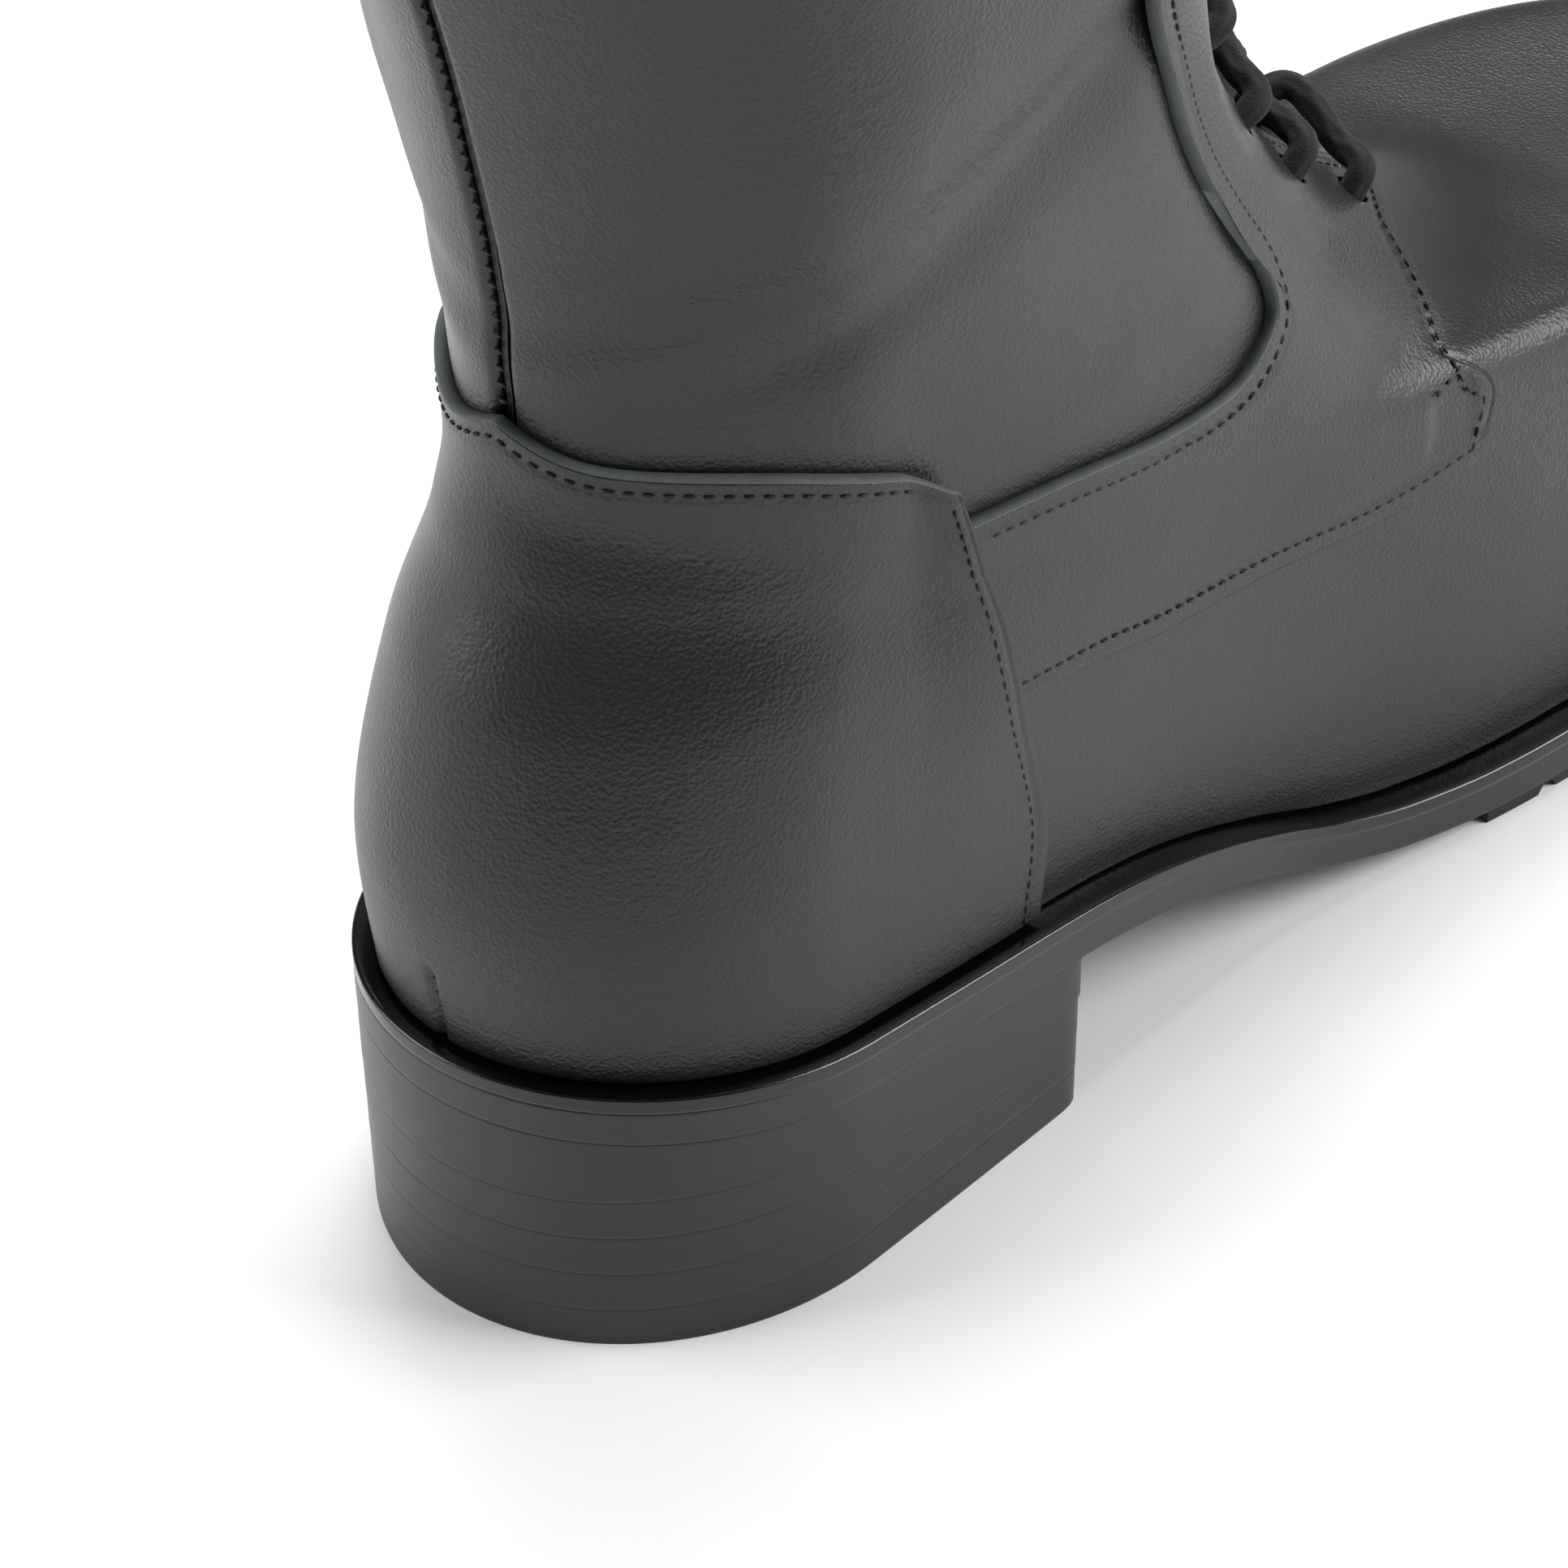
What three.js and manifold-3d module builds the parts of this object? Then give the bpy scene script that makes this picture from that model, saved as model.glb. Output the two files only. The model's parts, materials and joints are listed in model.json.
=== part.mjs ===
// Lace-up leather boot with a block heel: one right boot, built from its separate pieces.
// Millimetres, +X to the toe, +Y to the inner side, +Z up. The sole stands on z = 0.
import * as THREE from 'three';
import { mergeVertices } from 'three/addons/utils/BufferGeometryUtils.js';
import Module from 'manifold-3d';

const wasm = await Module();
wasm.setup();

// ---------------------------------------------------------------- driving dimensions
const soleLength = 302; // outsole, back of the heel to the toe
const ballWidth = 106; // outsole at the ball of the foot
const collarHeight = 250; // ground to the collar at the back
const heelRise = 32.7; // how much higher the heel seat stands than the ball
const toeSpring = 8; // lift of the outsole at the toe
const heelLength = 84; // back of the sole to the heel breast
const heelTaper = 0.4; // how far the ground face lies inside the heel seat
const outsoleThickness = 5;
const treadThickness = 2.4;
const topPieceThickness = 6;
const liftCount = 3;
const weltThickness = 2.4;
const weltWidth = 4.8; // what shows of the welt outside the upper
const weltSeat = 7; // what lies under the upper
const leather = 1.8; // outer panels
const liningLeather = 1;
const footbedThickness = 3;
const insoleThickness = 2.6;
const laceDiameter = 4;
const eyeletPairs = 10;
const eyeletBore = 3; // radius
const gap = 0.3; // clearance between neighbouring pieces
const layerGap = 1.1; // clearance between curved layers of the upper
const puffThickness = 0.8;

const rightSide = -1; // -Y, the outer side of this boot
const leftSide = 1;

// ---------------------------------------------------------------- laws of one variable
/** Smooth curve through knots [x, y] that never overshoots them. */
function curve(knots) {
  const secants = knots.slice(1).map(([x, y], i) => (y - knots[i][1]) / (x - knots[i][0]));
  const slopes = knots.map((_, i) => {
    const before = secants[Math.max(i - 1, 0)];
    const after = secants[Math.min(i, secants.length - 1)];
    return before * after > 0 ? (2 * before * after) / (before + after) : 0;
  });
  return (x) => {
    let i = 0;
    while (i < knots.length - 2 && x > knots[i + 1][0]) i += 1;
    const width = knots[i + 1][0] - knots[i][0];
    const t = THREE.MathUtils.clamp((x - knots[i][0]) / width, 0, 1);
    const s = 1 - t;
    return knots[i][1] * (1 + 2 * t) * s * s + knots[i + 1][1] * (1 + 2 * s) * t * t
      + width * t * s * (slopes[i] * s - slopes[i + 1] * t);
  };
}

const heelPitch = curve([[0, 1], [0.1, 0.895], [0.2, 0.785], [0.28, 0.69], [0.33, 0.595], [0.37, 0.475],
  [0.414, 0.309], [0.457, 0.147], [0.5, 0.046], [0.55, 0.004], [0.6, 0], [0.7, 0]]);
const toePitch = curve([[0.7, 0], [0.74, 0], [0.8, 0.06], [0.9, 0.38], [1, 1]]);
/** Height of the outsole's upper face above the ground. */
const soleTop = (x) => outsoleThickness + treadThickness
  + heelRise * heelPitch(x / soleLength) + toeSpring * toePitch(x / soleLength);
/** Height of the line where the upper meets the welt. */
const featherHeight = (x) => soleTop(x) + weltThickness;

// ---------------------------------------------------------------- shape of the upper
// Each ring runs round the boot from the back (first point) to the front (second point).
// The rows are drawn for this size and scaled to the driving dimensions.
const drawn = { length: 302, ballWidth: 106, shaft: 207 };
const along = soleLength / drawn.length;
const across = ballWidth / drawn.ballWidth;
const upward = (collarHeight - featherHeight(0)) / drawn.shaft;
// back x, height | front x, height | back and front roundness | sag | half widths, outer | inner side
const rings = [
  [[4.8, 0], [297, 0], [36, 75], 1, [31, 32, 32.5, 42, 49, 43], [31, 31.5, 28, 38, 48, 43]],
  [[3, 19], [291, 27], [34, 70], 0.8, [31, 34, 34.5, 43, 48, 41], [29.6, 32.5, 31, 40, 47, 41]],
  [[8.5, 45], [268, 60], [32, 60], 0.4, [27, 33, 34, 39, 41, 34], [25.6, 31, 33, 36, 32, 32]],
  [[16, 63], [214, 63.5], [30, 50], 0.1, [23, 31, 34, 35, 31, 22], [22, 29.5, 34, 32, 28, 19]],
  [[19, 78], [174, 80], [30, 45], 0, [21.5, 31.3, 34, 33, 28, 20], [21.5, 31.3, 34, 33, 28, 20]],
  [[18.6, 97], [144, 99.5], [30, 42], 0, [24.5, 33, 35, 34, 30, 22], [24.5, 33, 35, 34, 30, 22]],
  [[14.6, 122], [126, 123.5], [32, 42], 0, [26, 37, 38, 38, 34, 26], [26, 37, 38, 38, 34, 26]],
  [[5, 157], [118, 167], [38, 46], 0, [30.5, 41, 43.3, 43, 40, 32], [30.5, 41, 43.3, 43, 40, 32]],
  [[-12, 207], [119, 232], [48, 54], 0, [39, 47, 48, 48, 45, 40], [39, 47, 48, 48, 45, 40]],
];
const collarRing = rings.length - 1;
/** One entry of the ring rows as a smooth function of the ring number. */
const ringLaw = (pick) => curve(rings.map((ring, i) => [i, pick(ring)]));
const backX = ringLaw((ring) => ring[0][0] * along);
const backRise = ringLaw((ring) => ring[0][1] * upward);
const frontX = ringLaw((ring) => ring[1][0] * along);
const frontRise = ringLaw((ring) => ring[1][1] * upward);
const backTip = ringLaw((ring) => ring[2][0] * along);
const frontTip = ringLaw((ring) => ring[2][1] * along);
const sag = ringLaw((ring) => ring[3]);
const widthLaws = [4, 5].map((row) => rings[0][row].map((_, k) => ringLaw((ring) => ring[row][k] * across)));

/** Height of ring v at x. */
function ringHeight(v, x) {
  const t = (x - backX(v)) / (frontX(v) - backX(v));
  const base = THREE.MathUtils.lerp(featherHeight(backX(v)), featherHeight(frontX(v)), t);
  const rise = THREE.MathUtils.lerp(backRise(v), frontRise(v), t);
  return rise + THREE.MathUtils.lerp(base, featherHeight(x), sag(v));
}

/** Point of the outer surface: u is 0 at the back and -1 or 1 at the front, v is the ring. */
function shell(u, v) {
  const side = u < 0 ? rightSide : leftSide;
  const t = (1 - Math.cos(Math.PI * Math.abs(u))) / 2;
  const length = frontX(v) - backX(v);
  const x = backX(v) + t * length;
  const laws = widthLaws[side === rightSide ? 0 : 1];
  const body = curve(laws.map((law, k) => [k / (laws.length - 1), law(v)]))(t);
  const back = Math.max(0, 1 - (t * length) / backTip(v));
  const front = Math.max(0, 1 - ((1 - t) * length) / frontTip(v));
  const y = side * body * Math.sqrt(Math.max(0, 1 - back * back)) * Math.sqrt(Math.max(0, 1 - front * front));
  return new THREE.Vector3(x, y, ringHeight(v, x));
}

/** Outward normal of the shell. */
function shellNormal(u, v) {
  const step = 0.004;
  const aroundStep = shell(Math.min(u + step, 1), v).sub(shell(Math.max(u - step, -1), v));
  const upStep = shell(u, Math.min(v + step, collarRing)).sub(shell(u, Math.max(v - step, 0)));
  return upStep.cross(aroundStep).normalize();
}

/** Point at a height above the shell, wrapped across the front centre line. */
function skin(u, v, height) {
  const wrapped = Math.abs(u) > 1 ? u - 2 * Math.sign(u) : u;
  const edge = THREE.MathUtils.clamp(wrapped, -0.997, 0.997);
  return shell(wrapped, v).addScaledVector(shellNormal(edge, v), height);
}

/** Ring coordinates (around, ring) of the shell point seen at x and z from the side. */
function locate([x, z]) {
  let low = 0;
  let high = collarRing;
  for (let i = 0; i < 40; i += 1) {
    const middle = (low + high) / 2;
    if (ringHeight(middle, x * along) < z) low = middle;
    else high = middle;
  }
  const t = THREE.MathUtils.clamp((x * along - backX(low)) / (frontX(low) - backX(low)), 0, 1);
  return [Math.acos(1 - 2 * t) / Math.PI, low];
}

/** Ring coordinates of the point of ring v that lies a half width from the front centre line. */
function besideFront(v, halfWidth) {
  let low = 0.5;
  let high = 1;
  for (let i = 0; i < 40; i += 1) {
    const middle = (low + high) / 2;
    if (shell(middle, v).y > halfWidth) low = middle;
    else high = middle;
  }
  return [low, v];
}

// ---------------------------------------------------------------- solids
/** Closed geometry from triangles, with doubled points and empty triangles removed. */
function closedGeometry(points, triangles) {
  const loose = new THREE.BufferGeometry();
  loose.setAttribute('position', new THREE.Float32BufferAttribute(points.flatMap((p) => p.toArray()), 3));
  loose.setIndex(triangles.flat());
  const merged = mergeVertices(loose, 1e-3);
  const kept = [];
  for (let i = 0; i < merged.index.count; i += 3) {
    const [a, b, c] = [0, 1, 2].map((k) => merged.index.getX(i + k));
    if (a !== b && b !== c && c !== a) kept.push(a, b, c);
  }
  merged.setIndex(kept);
  return merged;
}

/** Points and triangles of an indexed geometry. */
function loose(geometry) {
  const { position } = geometry.attributes;
  const points = Array.from({ length: position.count }, (_, i) => (
    new THREE.Vector3().fromBufferAttribute(position, i)));
  const triangles = Array.from({ length: geometry.index.count / 3 }, (_, i) => (
    [0, 1, 2].map((k) => geometry.index.getX(3 * i + k))));
  return [points, triangles];
}

/** Signed volume of a closed geometry. */
function volume(geometry) {
  const [a, b, c] = [new THREE.Vector3(), new THREE.Vector3(), new THREE.Vector3()];
  let sum = 0;
  for (let i = 0; i < geometry.index.count; i += 3) {
    [a, b, c].forEach((p, k) => (
      p.fromBufferAttribute(geometry.attributes.position, geometry.index.getX(i + k))));
    sum += a.dot(b.cross(c)) / 6;
  }
  return sum;
}

/** Turns a closed geometry the right way out. */
function facingOut(geometry) {
  if (volume(geometry) >= 0) return geometry;
  const { index } = geometry;
  for (let i = 0; i < index.count; i += 3) {
    const [a, b] = [index.getX(i), index.getX(i + 1)];
    index.setX(i, b);
    index.setX(i + 1, a);
  }
  return geometry;
}

/** Closed plate between two surfaces over (s, r) in the unit square; loop joins s = 1 to s = 0. */
function plate(columns, rows, inner, outer, loop = false) {
  const points = [];
  const triangles = [];
  const stations = loop ? columns : columns + 1;
  for (const surface of [inner, outer]) {
    for (let i = 0; i < stations; i += 1) {
      for (let j = 0; j <= rows; j += 1) points.push(surface(i / columns, j / rows));
    }
  }
  const at = (layer, i, j) => (layer * stations + (i % stations)) * (rows + 1) + j;
  const quad = (a, b, c, d) => triangles.push([a, b, c], [a, c, d]);
  for (let i = 0; i < columns; i += 1) {
    for (let j = 0; j < rows; j += 1) {
      quad(at(0, i, j), at(0, i + 1, j), at(0, i + 1, j + 1), at(0, i, j + 1));
      quad(at(1, i, j), at(1, i, j + 1), at(1, i + 1, j + 1), at(1, i + 1, j));
    }
    quad(at(0, i, 0), at(1, i, 0), at(1, i + 1, 0), at(0, i + 1, 0));
    quad(at(0, i, rows), at(0, i + 1, rows), at(1, i + 1, rows), at(1, i, rows));
  }
  for (let j = 0; j < rows && !loop; j += 1) {
    quad(at(0, 0, j), at(0, 0, j + 1), at(1, 0, j + 1), at(1, 0, j));
    quad(at(0, columns, j), at(1, columns, j), at(1, columns, j + 1), at(0, columns, j + 1));
  }
  return facingOut(closedGeometry(points, triangles));
}

/** Geometry with every tool cut out of it. */
function cut(geometry, tools) {
  const solid = (source) => {
    const bare = source.clone();
    const extras = Object.keys(bare.attributes).filter((name) => name !== 'position');
    extras.forEach((name) => bare.deleteAttribute(name));
    const merged = mergeVertices(bare, 1e-3);
    return new wasm.Manifold(new wasm.Mesh({
      numProp: 3,
      vertProperties: new Float32Array(merged.attributes.position.array),
      triVerts: new Uint32Array(merged.index.array),
    }));
  };
  const mesh = tools.reduce((left, tool) => left.subtract(solid(tool)), solid(geometry)).getMesh();
  const result = new THREE.BufferGeometry();
  result.setAttribute('position', new THREE.BufferAttribute(mesh.vertProperties, 3));
  result.setIndex(new THREE.BufferAttribute(mesh.triVerts, 1));
  return result;
}

/** Round cord along a path of points. */
function cord(path, steps, sides = 8, diameter = laceDiameter) {
  const section = new THREE.Shape();
  for (let k = 0; k < sides; k += 1) {
    const angle = (2 * Math.PI * k) / sides;
    const [x, y] = [Math.cos(angle) * diameter / 2, Math.sin(angle) * diameter / 2];
    if (k === 0) section.moveTo(x, y);
    else section.lineTo(x, y);
  }
  const extrudePath = new THREE.CatmullRomCurve3(path, false, 'centripetal');
  return new THREE.ExtrudeGeometry(section, { steps, extrudePath, bevelEnabled: false, curveSegments: 1 });
}

// ---------------------------------------------------------------- the boot
const boot = new THREE.Group();
const finishes = {
  blackLeather: { color: 0x1d1d1f, roughness: 0.5 },
  liningLeather: { color: 0x8a6f55, roughness: 0.75 },
  soleLeather: { color: 0x241c19, roughness: 0.45 },
  rubber: { color: 0x151515, roughness: 0.8 },
  cork: { color: 0x9a7650, roughness: 0.9 },
  fibreboard: { color: 0x8d7a60, roughness: 0.9 },
  steel: { color: 0x9a9c9f, roughness: 0.35, metalness: 1 },
  blackedBrass: { color: 0x2a2826, roughness: 0.4, metalness: 1 },
  laceYarn: { color: 0x101011, roughness: 0.9 },
};

/** Adds one named piece. */
function add(name, finish, geometry) {
  geometry.computeVertexNormals();
  const mesh = new THREE.Mesh(geometry, new THREE.MeshStandardMaterial(finishes[finish]));
  mesh.name = name;
  boot.add(mesh);
}

// ---- layers of the upper
// levels run from a sheet's inner to its outer face, above (+) or below (-) the shell
/** Level of a sheet whose outer face lies this deep under the shell. */
const below = (depth, thickness) => [-depth - thickness, -depth];
const puffDepth = leather + 1.7 * layerGap;
const vampLiningDepth = puffDepth + puffThickness + 1.5 * layerGap;
const levels = {
  outer: below(0, leather), // quarters, vamp, stiffener and stays
  overlay: [layerGap, layerGap + leather], // counter and facings, on top of their neighbours
  quarterLining: below(leather + 1.2 * layerGap, liningLeather),
  toePuff: below(puffDepth, puffThickness),
  vampLining: below(vampLiningDepth, liningLeather),
};

// ---- sole unit
/** Point of the sole's outline, moved inwards by inset; u as on the shell. */
function soleEdge(u, inset) {
  const step = 0.004;
  const before = shell(Math.max(u - step, -1), 0);
  const after = shell(Math.min(u + step, 1), 0);
  const outward = new THREE.Vector2(before.y - after.y, after.x - before.x).normalize();
  const point = shell(u, 0);
  const reach = weltWidth - inset;
  return new THREE.Vector2(point.x + outward.x * reach, point.y + outward.y * reach);
}

/** Around value where the outline with this inset passes x, on one side. */
function aroundAt(side, x, inset) {
  let low = 0;
  let high = 1;
  for (let i = 0; i < 40; i += 1) {
    const middle = (low + high) / 2;
    if (soleEdge(side * middle, inset).x < x) low = middle;
    else high = middle;
  }
  return side * low;
}

/** Layer of the sole between two x stations, with its own insets and faces. */
function soleLayer({ from, to, low, high, insetLow, insetHigh, columns, rows = 2 }) {
  const face = (inset, height) => (s, r) => {
    const x = THREE.MathUtils.lerp(from, to, (1 - Math.cos(Math.PI * s)) / 2);
    const [right, left] = [rightSide, leftSide].map((side) => soleEdge(aroundAt(side, x, inset), inset));
    const y = THREE.MathUtils.lerp(right.y, left.y, r);
    return new THREE.Vector3(x, y, height(x));
  };
  return plate(columns, rows, face(insetLow, low), face(insetHigh, high));
}

const flat = (height) => () => height;
const seatUnderside = (x) => soleTop(x) - outsoleThickness - gap;
const liftTop = seatUnderside(heelLength) - gap;
const liftThickness = (liftTop - topPieceThickness) / liftCount;
/** How far the heel's side lies inside the seat at a height. */
const heelInset = (height) => heelTaper * (1 - Math.min(1, height / seatUnderside(0)));
const heelBack = (inset) => soleEdge(0, inset).x + 0.05;

function heelLayer(low, high) {
  const level = typeof high === 'number';
  const [insetLow, insetHigh] = [heelInset(low), heelInset(level ? high : seatUnderside(0))];
  return soleLayer({
    from: heelBack(Math.max(insetLow, insetHigh)), to: heelLength, insetLow, insetHigh, columns: 16, rows: 1,
    low: flat(low), high: level ? flat(high) : high,
  });
}

add('top_piece', 'rubber', heelLayer(0, topPieceThickness));
for (let k = 0; k < liftCount; k += 1) {
  const low = topPieceThickness + k * liftThickness + gap;
  add(`heel_lift_${k + 1}`, 'soleLeather', heelLayer(low, low + liftThickness - gap));
}
add('heel_seat_wedge', 'soleLeather', heelLayer(liftTop + gap, seatUnderside));

const soleBack = heelBack(0);
const soleFront = soleEdge(1, 0).x - 0.05;
add('outsole', 'soleLeather', soleLayer({
  from: soleBack, to: soleFront, columns: 34, rows: 1,
  low: (x) => soleTop(x) - outsoleThickness, high: soleTop, insetLow: 0, insetHigh: 0,
}));

const treadBack = 0.55 * soleLength;
const treadHigh = (x) => soleTop(x) - outsoleThickness - gap;
const treadLow = (x) => Math.max(0, soleTop(x) - outsoleThickness - treadThickness);
const grooveDepth = 1.6;
const grooveWidth = 3;
const groovePitch = 15;
const treadBody = soleLayer({
  from: treadBack, to: soleFront - 0.6, insetLow: 0.8, insetHigh: 0.4, columns: 20, rows: 1,
  low: treadLow, high: treadHigh,
});
const grooves = [];
for (let x = treadBack + groovePitch; x < soleFront - groovePitch; x += groovePitch) {
  const bar = new THREE.BoxGeometry(grooveWidth, ballWidth * 2, 2 * grooveDepth);
  grooves.push(bar.translate(x, 0, treadLow(x)));
}
add('forefoot_tread', 'rubber', cut(treadBody, grooves));

const weltInner = weltWidth + weltSeat;
const weltFace = (lift) => (s, r) => {
  const u = 2 * s - 1;
  const edge = soleEdge(u, r * weltInner);
  return new THREE.Vector3(edge.x, edge.y, soleTop(THREE.MathUtils.clamp(edge.x, 0, soleLength)) + lift);
};
add('welt', 'soleLeather', plate(56, 1, weltFace(gap), weltFace(weltThickness - gap), true));

const insideWelt = weltInner + gap;
const boardTop = 0.9; // seat board above the outsole
const shankTop = weltThickness - gap;
const shankStart = 0.17 * soleLength;
const shankEnd = 0.54 * soleLength;
const shankHalfWidth = 7;
add('seat_board', 'fibreboard', soleLayer({
  from: soleEdge(0, insideWelt).x + 0.5, to: shankEnd, insetLow: insideWelt, insetHigh: insideWelt,
  low: (x) => soleTop(x) + gap, high: (x) => soleTop(x) + boardTop, columns: 16, rows: 1,
}));
const shankFace = (lift) => (s, r) => {
  const x = THREE.MathUtils.lerp(shankStart, shankEnd - 2, s);
  return new THREE.Vector3(x, (2 * r - 1) * shankHalfWidth, soleTop(x) + lift);
};
add('shank', 'steel', plate(14, 1, shankFace(boardTop + gap), shankFace(shankTop)));
add('forefoot_filler', 'cork', soleLayer({
  from: shankEnd + 2, to: soleEdge(1, insideWelt).x - 0.5, insetLow: insideWelt, insetHigh: insideWelt,
  low: (x) => soleTop(x) + gap, high: (x) => soleTop(x) + shankTop, columns: 18, rows: 1,
}));

const insoleInset = weltWidth - levels.vampLining[0] + 0.8;
const insoleLow = (x) => featherHeight(x) + gap;
const insoleHigh = (x) => insoleLow(x) + insoleThickness;
const insideShoe = {
  from: soleEdge(0, insoleInset + 1.5).x + 0.5, to: soleEdge(1, insoleInset + 1.5).x - 0.5,
  columns: 22, rows: 1,
};
add('insole', 'fibreboard', soleLayer({
  ...insideShoe, low: insoleLow, high: insoleHigh, insetLow: insoleInset, insetHigh: insoleInset,
}));
add('footbed', 'liningLeather', soleLayer({
  ...insideShoe, insetLow: insoleInset + 1.5, insetHigh: insoleInset + 1.5,
  low: (x) => insoleHigh(x) + gap, high: (x) => insoleHigh(x) + gap + footbedThickness,
}));

// ---- upper

/** Patch of ring coordinates between four edges, each a function of 0..1. */
function patch(bottom, top, start, end) {
  return (s, r) => [0, 1].map((k) => (1 - r) * bottom(s)[k] + r * top(s)[k]
    + (1 - s) * start(r)[k] + s * end(r)[k]
    - (1 - s) * (1 - r) * bottom(0)[k] - s * (1 - r) * bottom(1)[k]
    - (1 - s) * r * top(0)[k] - s * r * top(1)[k]);
}

/** Smooth edge through ring coordinates; corner is the index of a sharp corner, met at s = 0.5. */
function edge(points, corner = 0) {
  const smooth = (list) => {
    if (list.length === 2) return (s) => [0, 1].map((k) => THREE.MathUtils.lerp(list[0][k], list[1][k], s));
    const path = new THREE.CatmullRomCurve3(list.map(([u, v]) => new THREE.Vector3(u * 8, v, 0)));
    return (s) => {
      const point = path.getPoint(s);
      return [point.x / 8, point.y];
    };
  };
  if (!corner) return smooth(points);
  const [first, second] = [smooth(points.slice(0, corner + 1)), smooth(points.slice(corner))];
  return (s) => (s < 0.5 ? first(2 * s) : second(2 * s - 1));
}

/** Panel on one side of the boot. */
function sidePanel(side, area, level, columns, rows) {
  const face = (height) => (s, r) => {
    const [u, v] = area(s, r);
    return skin(side * u, v, height);
  };
  return plate(columns, rows, face(level[0]), face(level[1]));
}

/** Panel that runs over the back centre line (around = 0) from one side to the other. */
function backPanel(area, level, columns, rows) {
  const face = (height) => (s, r) => {
    const [u, v] = area(Math.abs(2 * s - 1), r);
    return skin(Math.sign(2 * s - 1) * u, v, height);
  };
  return plate(columns, rows, face(level[0]), face(level[1]));
}

/** Panel that runs over the front centre line (around = 1) from one side to the other. */
function frontPanel(area, level, columns, rows) {
  const face = (height) => (s, r) => {
    const [u, v] = area(1 - Math.abs(2 * s - 1), r);
    return skin(s < 0.5 ? -u : u, v, height);
  };
  return plate(columns, rows, face(level[0]), face(level[1]));
}

/** Point at a given height on the feather line or a ring, by its share round the side. */
const footRing = 0.03; // panels start just above the feather line
const lap = 10; // how far a panel runs under its neighbour

// outline points are x from the back of the sole and z from the ground, at the drawn size
/** Where the counter's front edge stands at height z. */
const counterFront = curve([[33, 76], [52.4, 74.5], [73.8, 68], [96, 62.5], [110.5, 57]]);
const counterCorner = 110.5;
const counterBackTop = 124.5;
const counterTop = [[22, 120.8], [39, 118.6], [50, 114.8]];
const counterFoot = ringHeight(footRing, counterFront(30) * along);
/** Edge beside the counter's front edge, moved by shift, between two heights. */
const besideCounter = (shift, from, to) => (r) => {
  const z = THREE.MathUtils.lerp(from, to, r);
  return locate([counterFront(z) + shift, z]);
};

function counterArea(shift, drop) {
  const front = besideCounter(shift, counterFoot, counterCorner - drop);
  const back = [0, locate([19, counterBackTop - drop])[1]];
  const top = edge([back, ...counterTop.map(([x, z]) => locate([x, z - drop])), front(1)]);
  return patch(edge([[0, footRing], front(0)]), top, edge([[0, footRing], back]), front);
}
add('outside_counter', 'blackLeather', backPanel(counterArea(0, 0), levels.overlay, 26, 8));
add('heel_stiffener', 'fibreboard', backPanel(counterArea(-lap - 4, lap + 4), levels.outer, 18, 5));

const facingCorner = [159, 65];
const throatHalfGap = (v) => THREE.MathUtils.mapLinear(v, 4, collarRing, 7, 10) * across;
const throatRing = 3.97;
const throatEdge = (v) => besideFront(v, throatHalfGap(v));
// the rear edge of the facing: forward from the counter, round the bulge and up to the collar
const facingRear = [[77.6, 101.2], [95.7, 98.1], [108.9, 97.4], [116.5, 100], [120.2, 104.4], [116.6, 112.4],
  [102, 130.8]];
const facingRearTop = [[91, 147], [81, 166.5], [77, 205], [77, 249]];
const facingSeam = [[84, 71], [97.7, 68.2], [129.8, 64.3]];
const facingFront = [[158, 79.7], [163.1, 88.4]];
const facingEnd = besideCounter(1, 74, 103);

function facingArea() {
  const rear = edge([facingEnd(1), ...[...facingRear, ...facingRearTop].map(locate)], 5);
  const seam = [facingEnd(0), ...facingSeam.map(locate), locate(facingCorner)];
  const throat = [throatRing, 5, 6, 7, collarRing].map(throatEdge);
  const inner = edge([...seam, ...facingFront.map(locate), ...throat], seam.length - 1);
  return patch(inner, rear, facingEnd, edge([inner(1), rear(1)]));
}

// ---- lace holes
const eyeletSet = 7; // hole centre behind the facing's edge
const stayWidth = 13;
const barrelWall = 0.5;
const flangeReach = 1.6;
const flangeDrop = 0.9; // the flange hangs this far under the lining, clear of its curve
const lowestEyelet = 4.08; // ring of the lowest pair
const frontSteps = Array.from({ length: 61 }, (_, i) => (
  THREE.MathUtils.mapLinear(i, 0, 60, lowestEyelet, collarRing - 0.14)));
const frontLengths = [0];
for (let i = 1; i < frontSteps.length; i += 1) {
  frontLengths.push(frontLengths[i - 1] + shell(1, frontSteps[i]).distanceTo(shell(1, frontSteps[i - 1])));
}
const ringAtLength = curve(frontSteps.map((v, i) => [frontLengths[i], v]));
/** Ring of eyelet k, counted from the lowest: the pairs stand evenly along the front line. */
const eyeletRing = (k) => ringAtLength((frontLengths[60] * k) / (eyeletPairs - 1));
/** Axis of one eyelet: its foot on the shell and its outward direction. */
function eyeletAxis(side, k) {
  const [u, v] = besideFront(eyeletRing(k), throatHalfGap(eyeletRing(k)) + eyeletSet);
  return { foot: shell(side * u, v), out: shellNormal(side * u, v) };
}
/** Turns a shape whose axis is Y so that it stands on an eyelet's axis. */
function ontoEyelet(geometry, { foot, out }) {
  const turn = new THREE.Quaternion().setFromUnitVectors(new THREE.Vector3(0, 1, 0), out);
  return geometry.applyQuaternion(turn).translate(foot.x, foot.y, foot.z);
}
const pairs = Array.from({ length: eyeletPairs }, (_, k) => k);
const borers = (side, radius) => pairs.map((k) => (
  ontoEyelet(new THREE.CylinderGeometry(radius, radius, 20, 8), eyeletAxis(side, k))));

const sides = [['right', rightSide], ['left', leftSide]];
const facing = facingArea();

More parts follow.
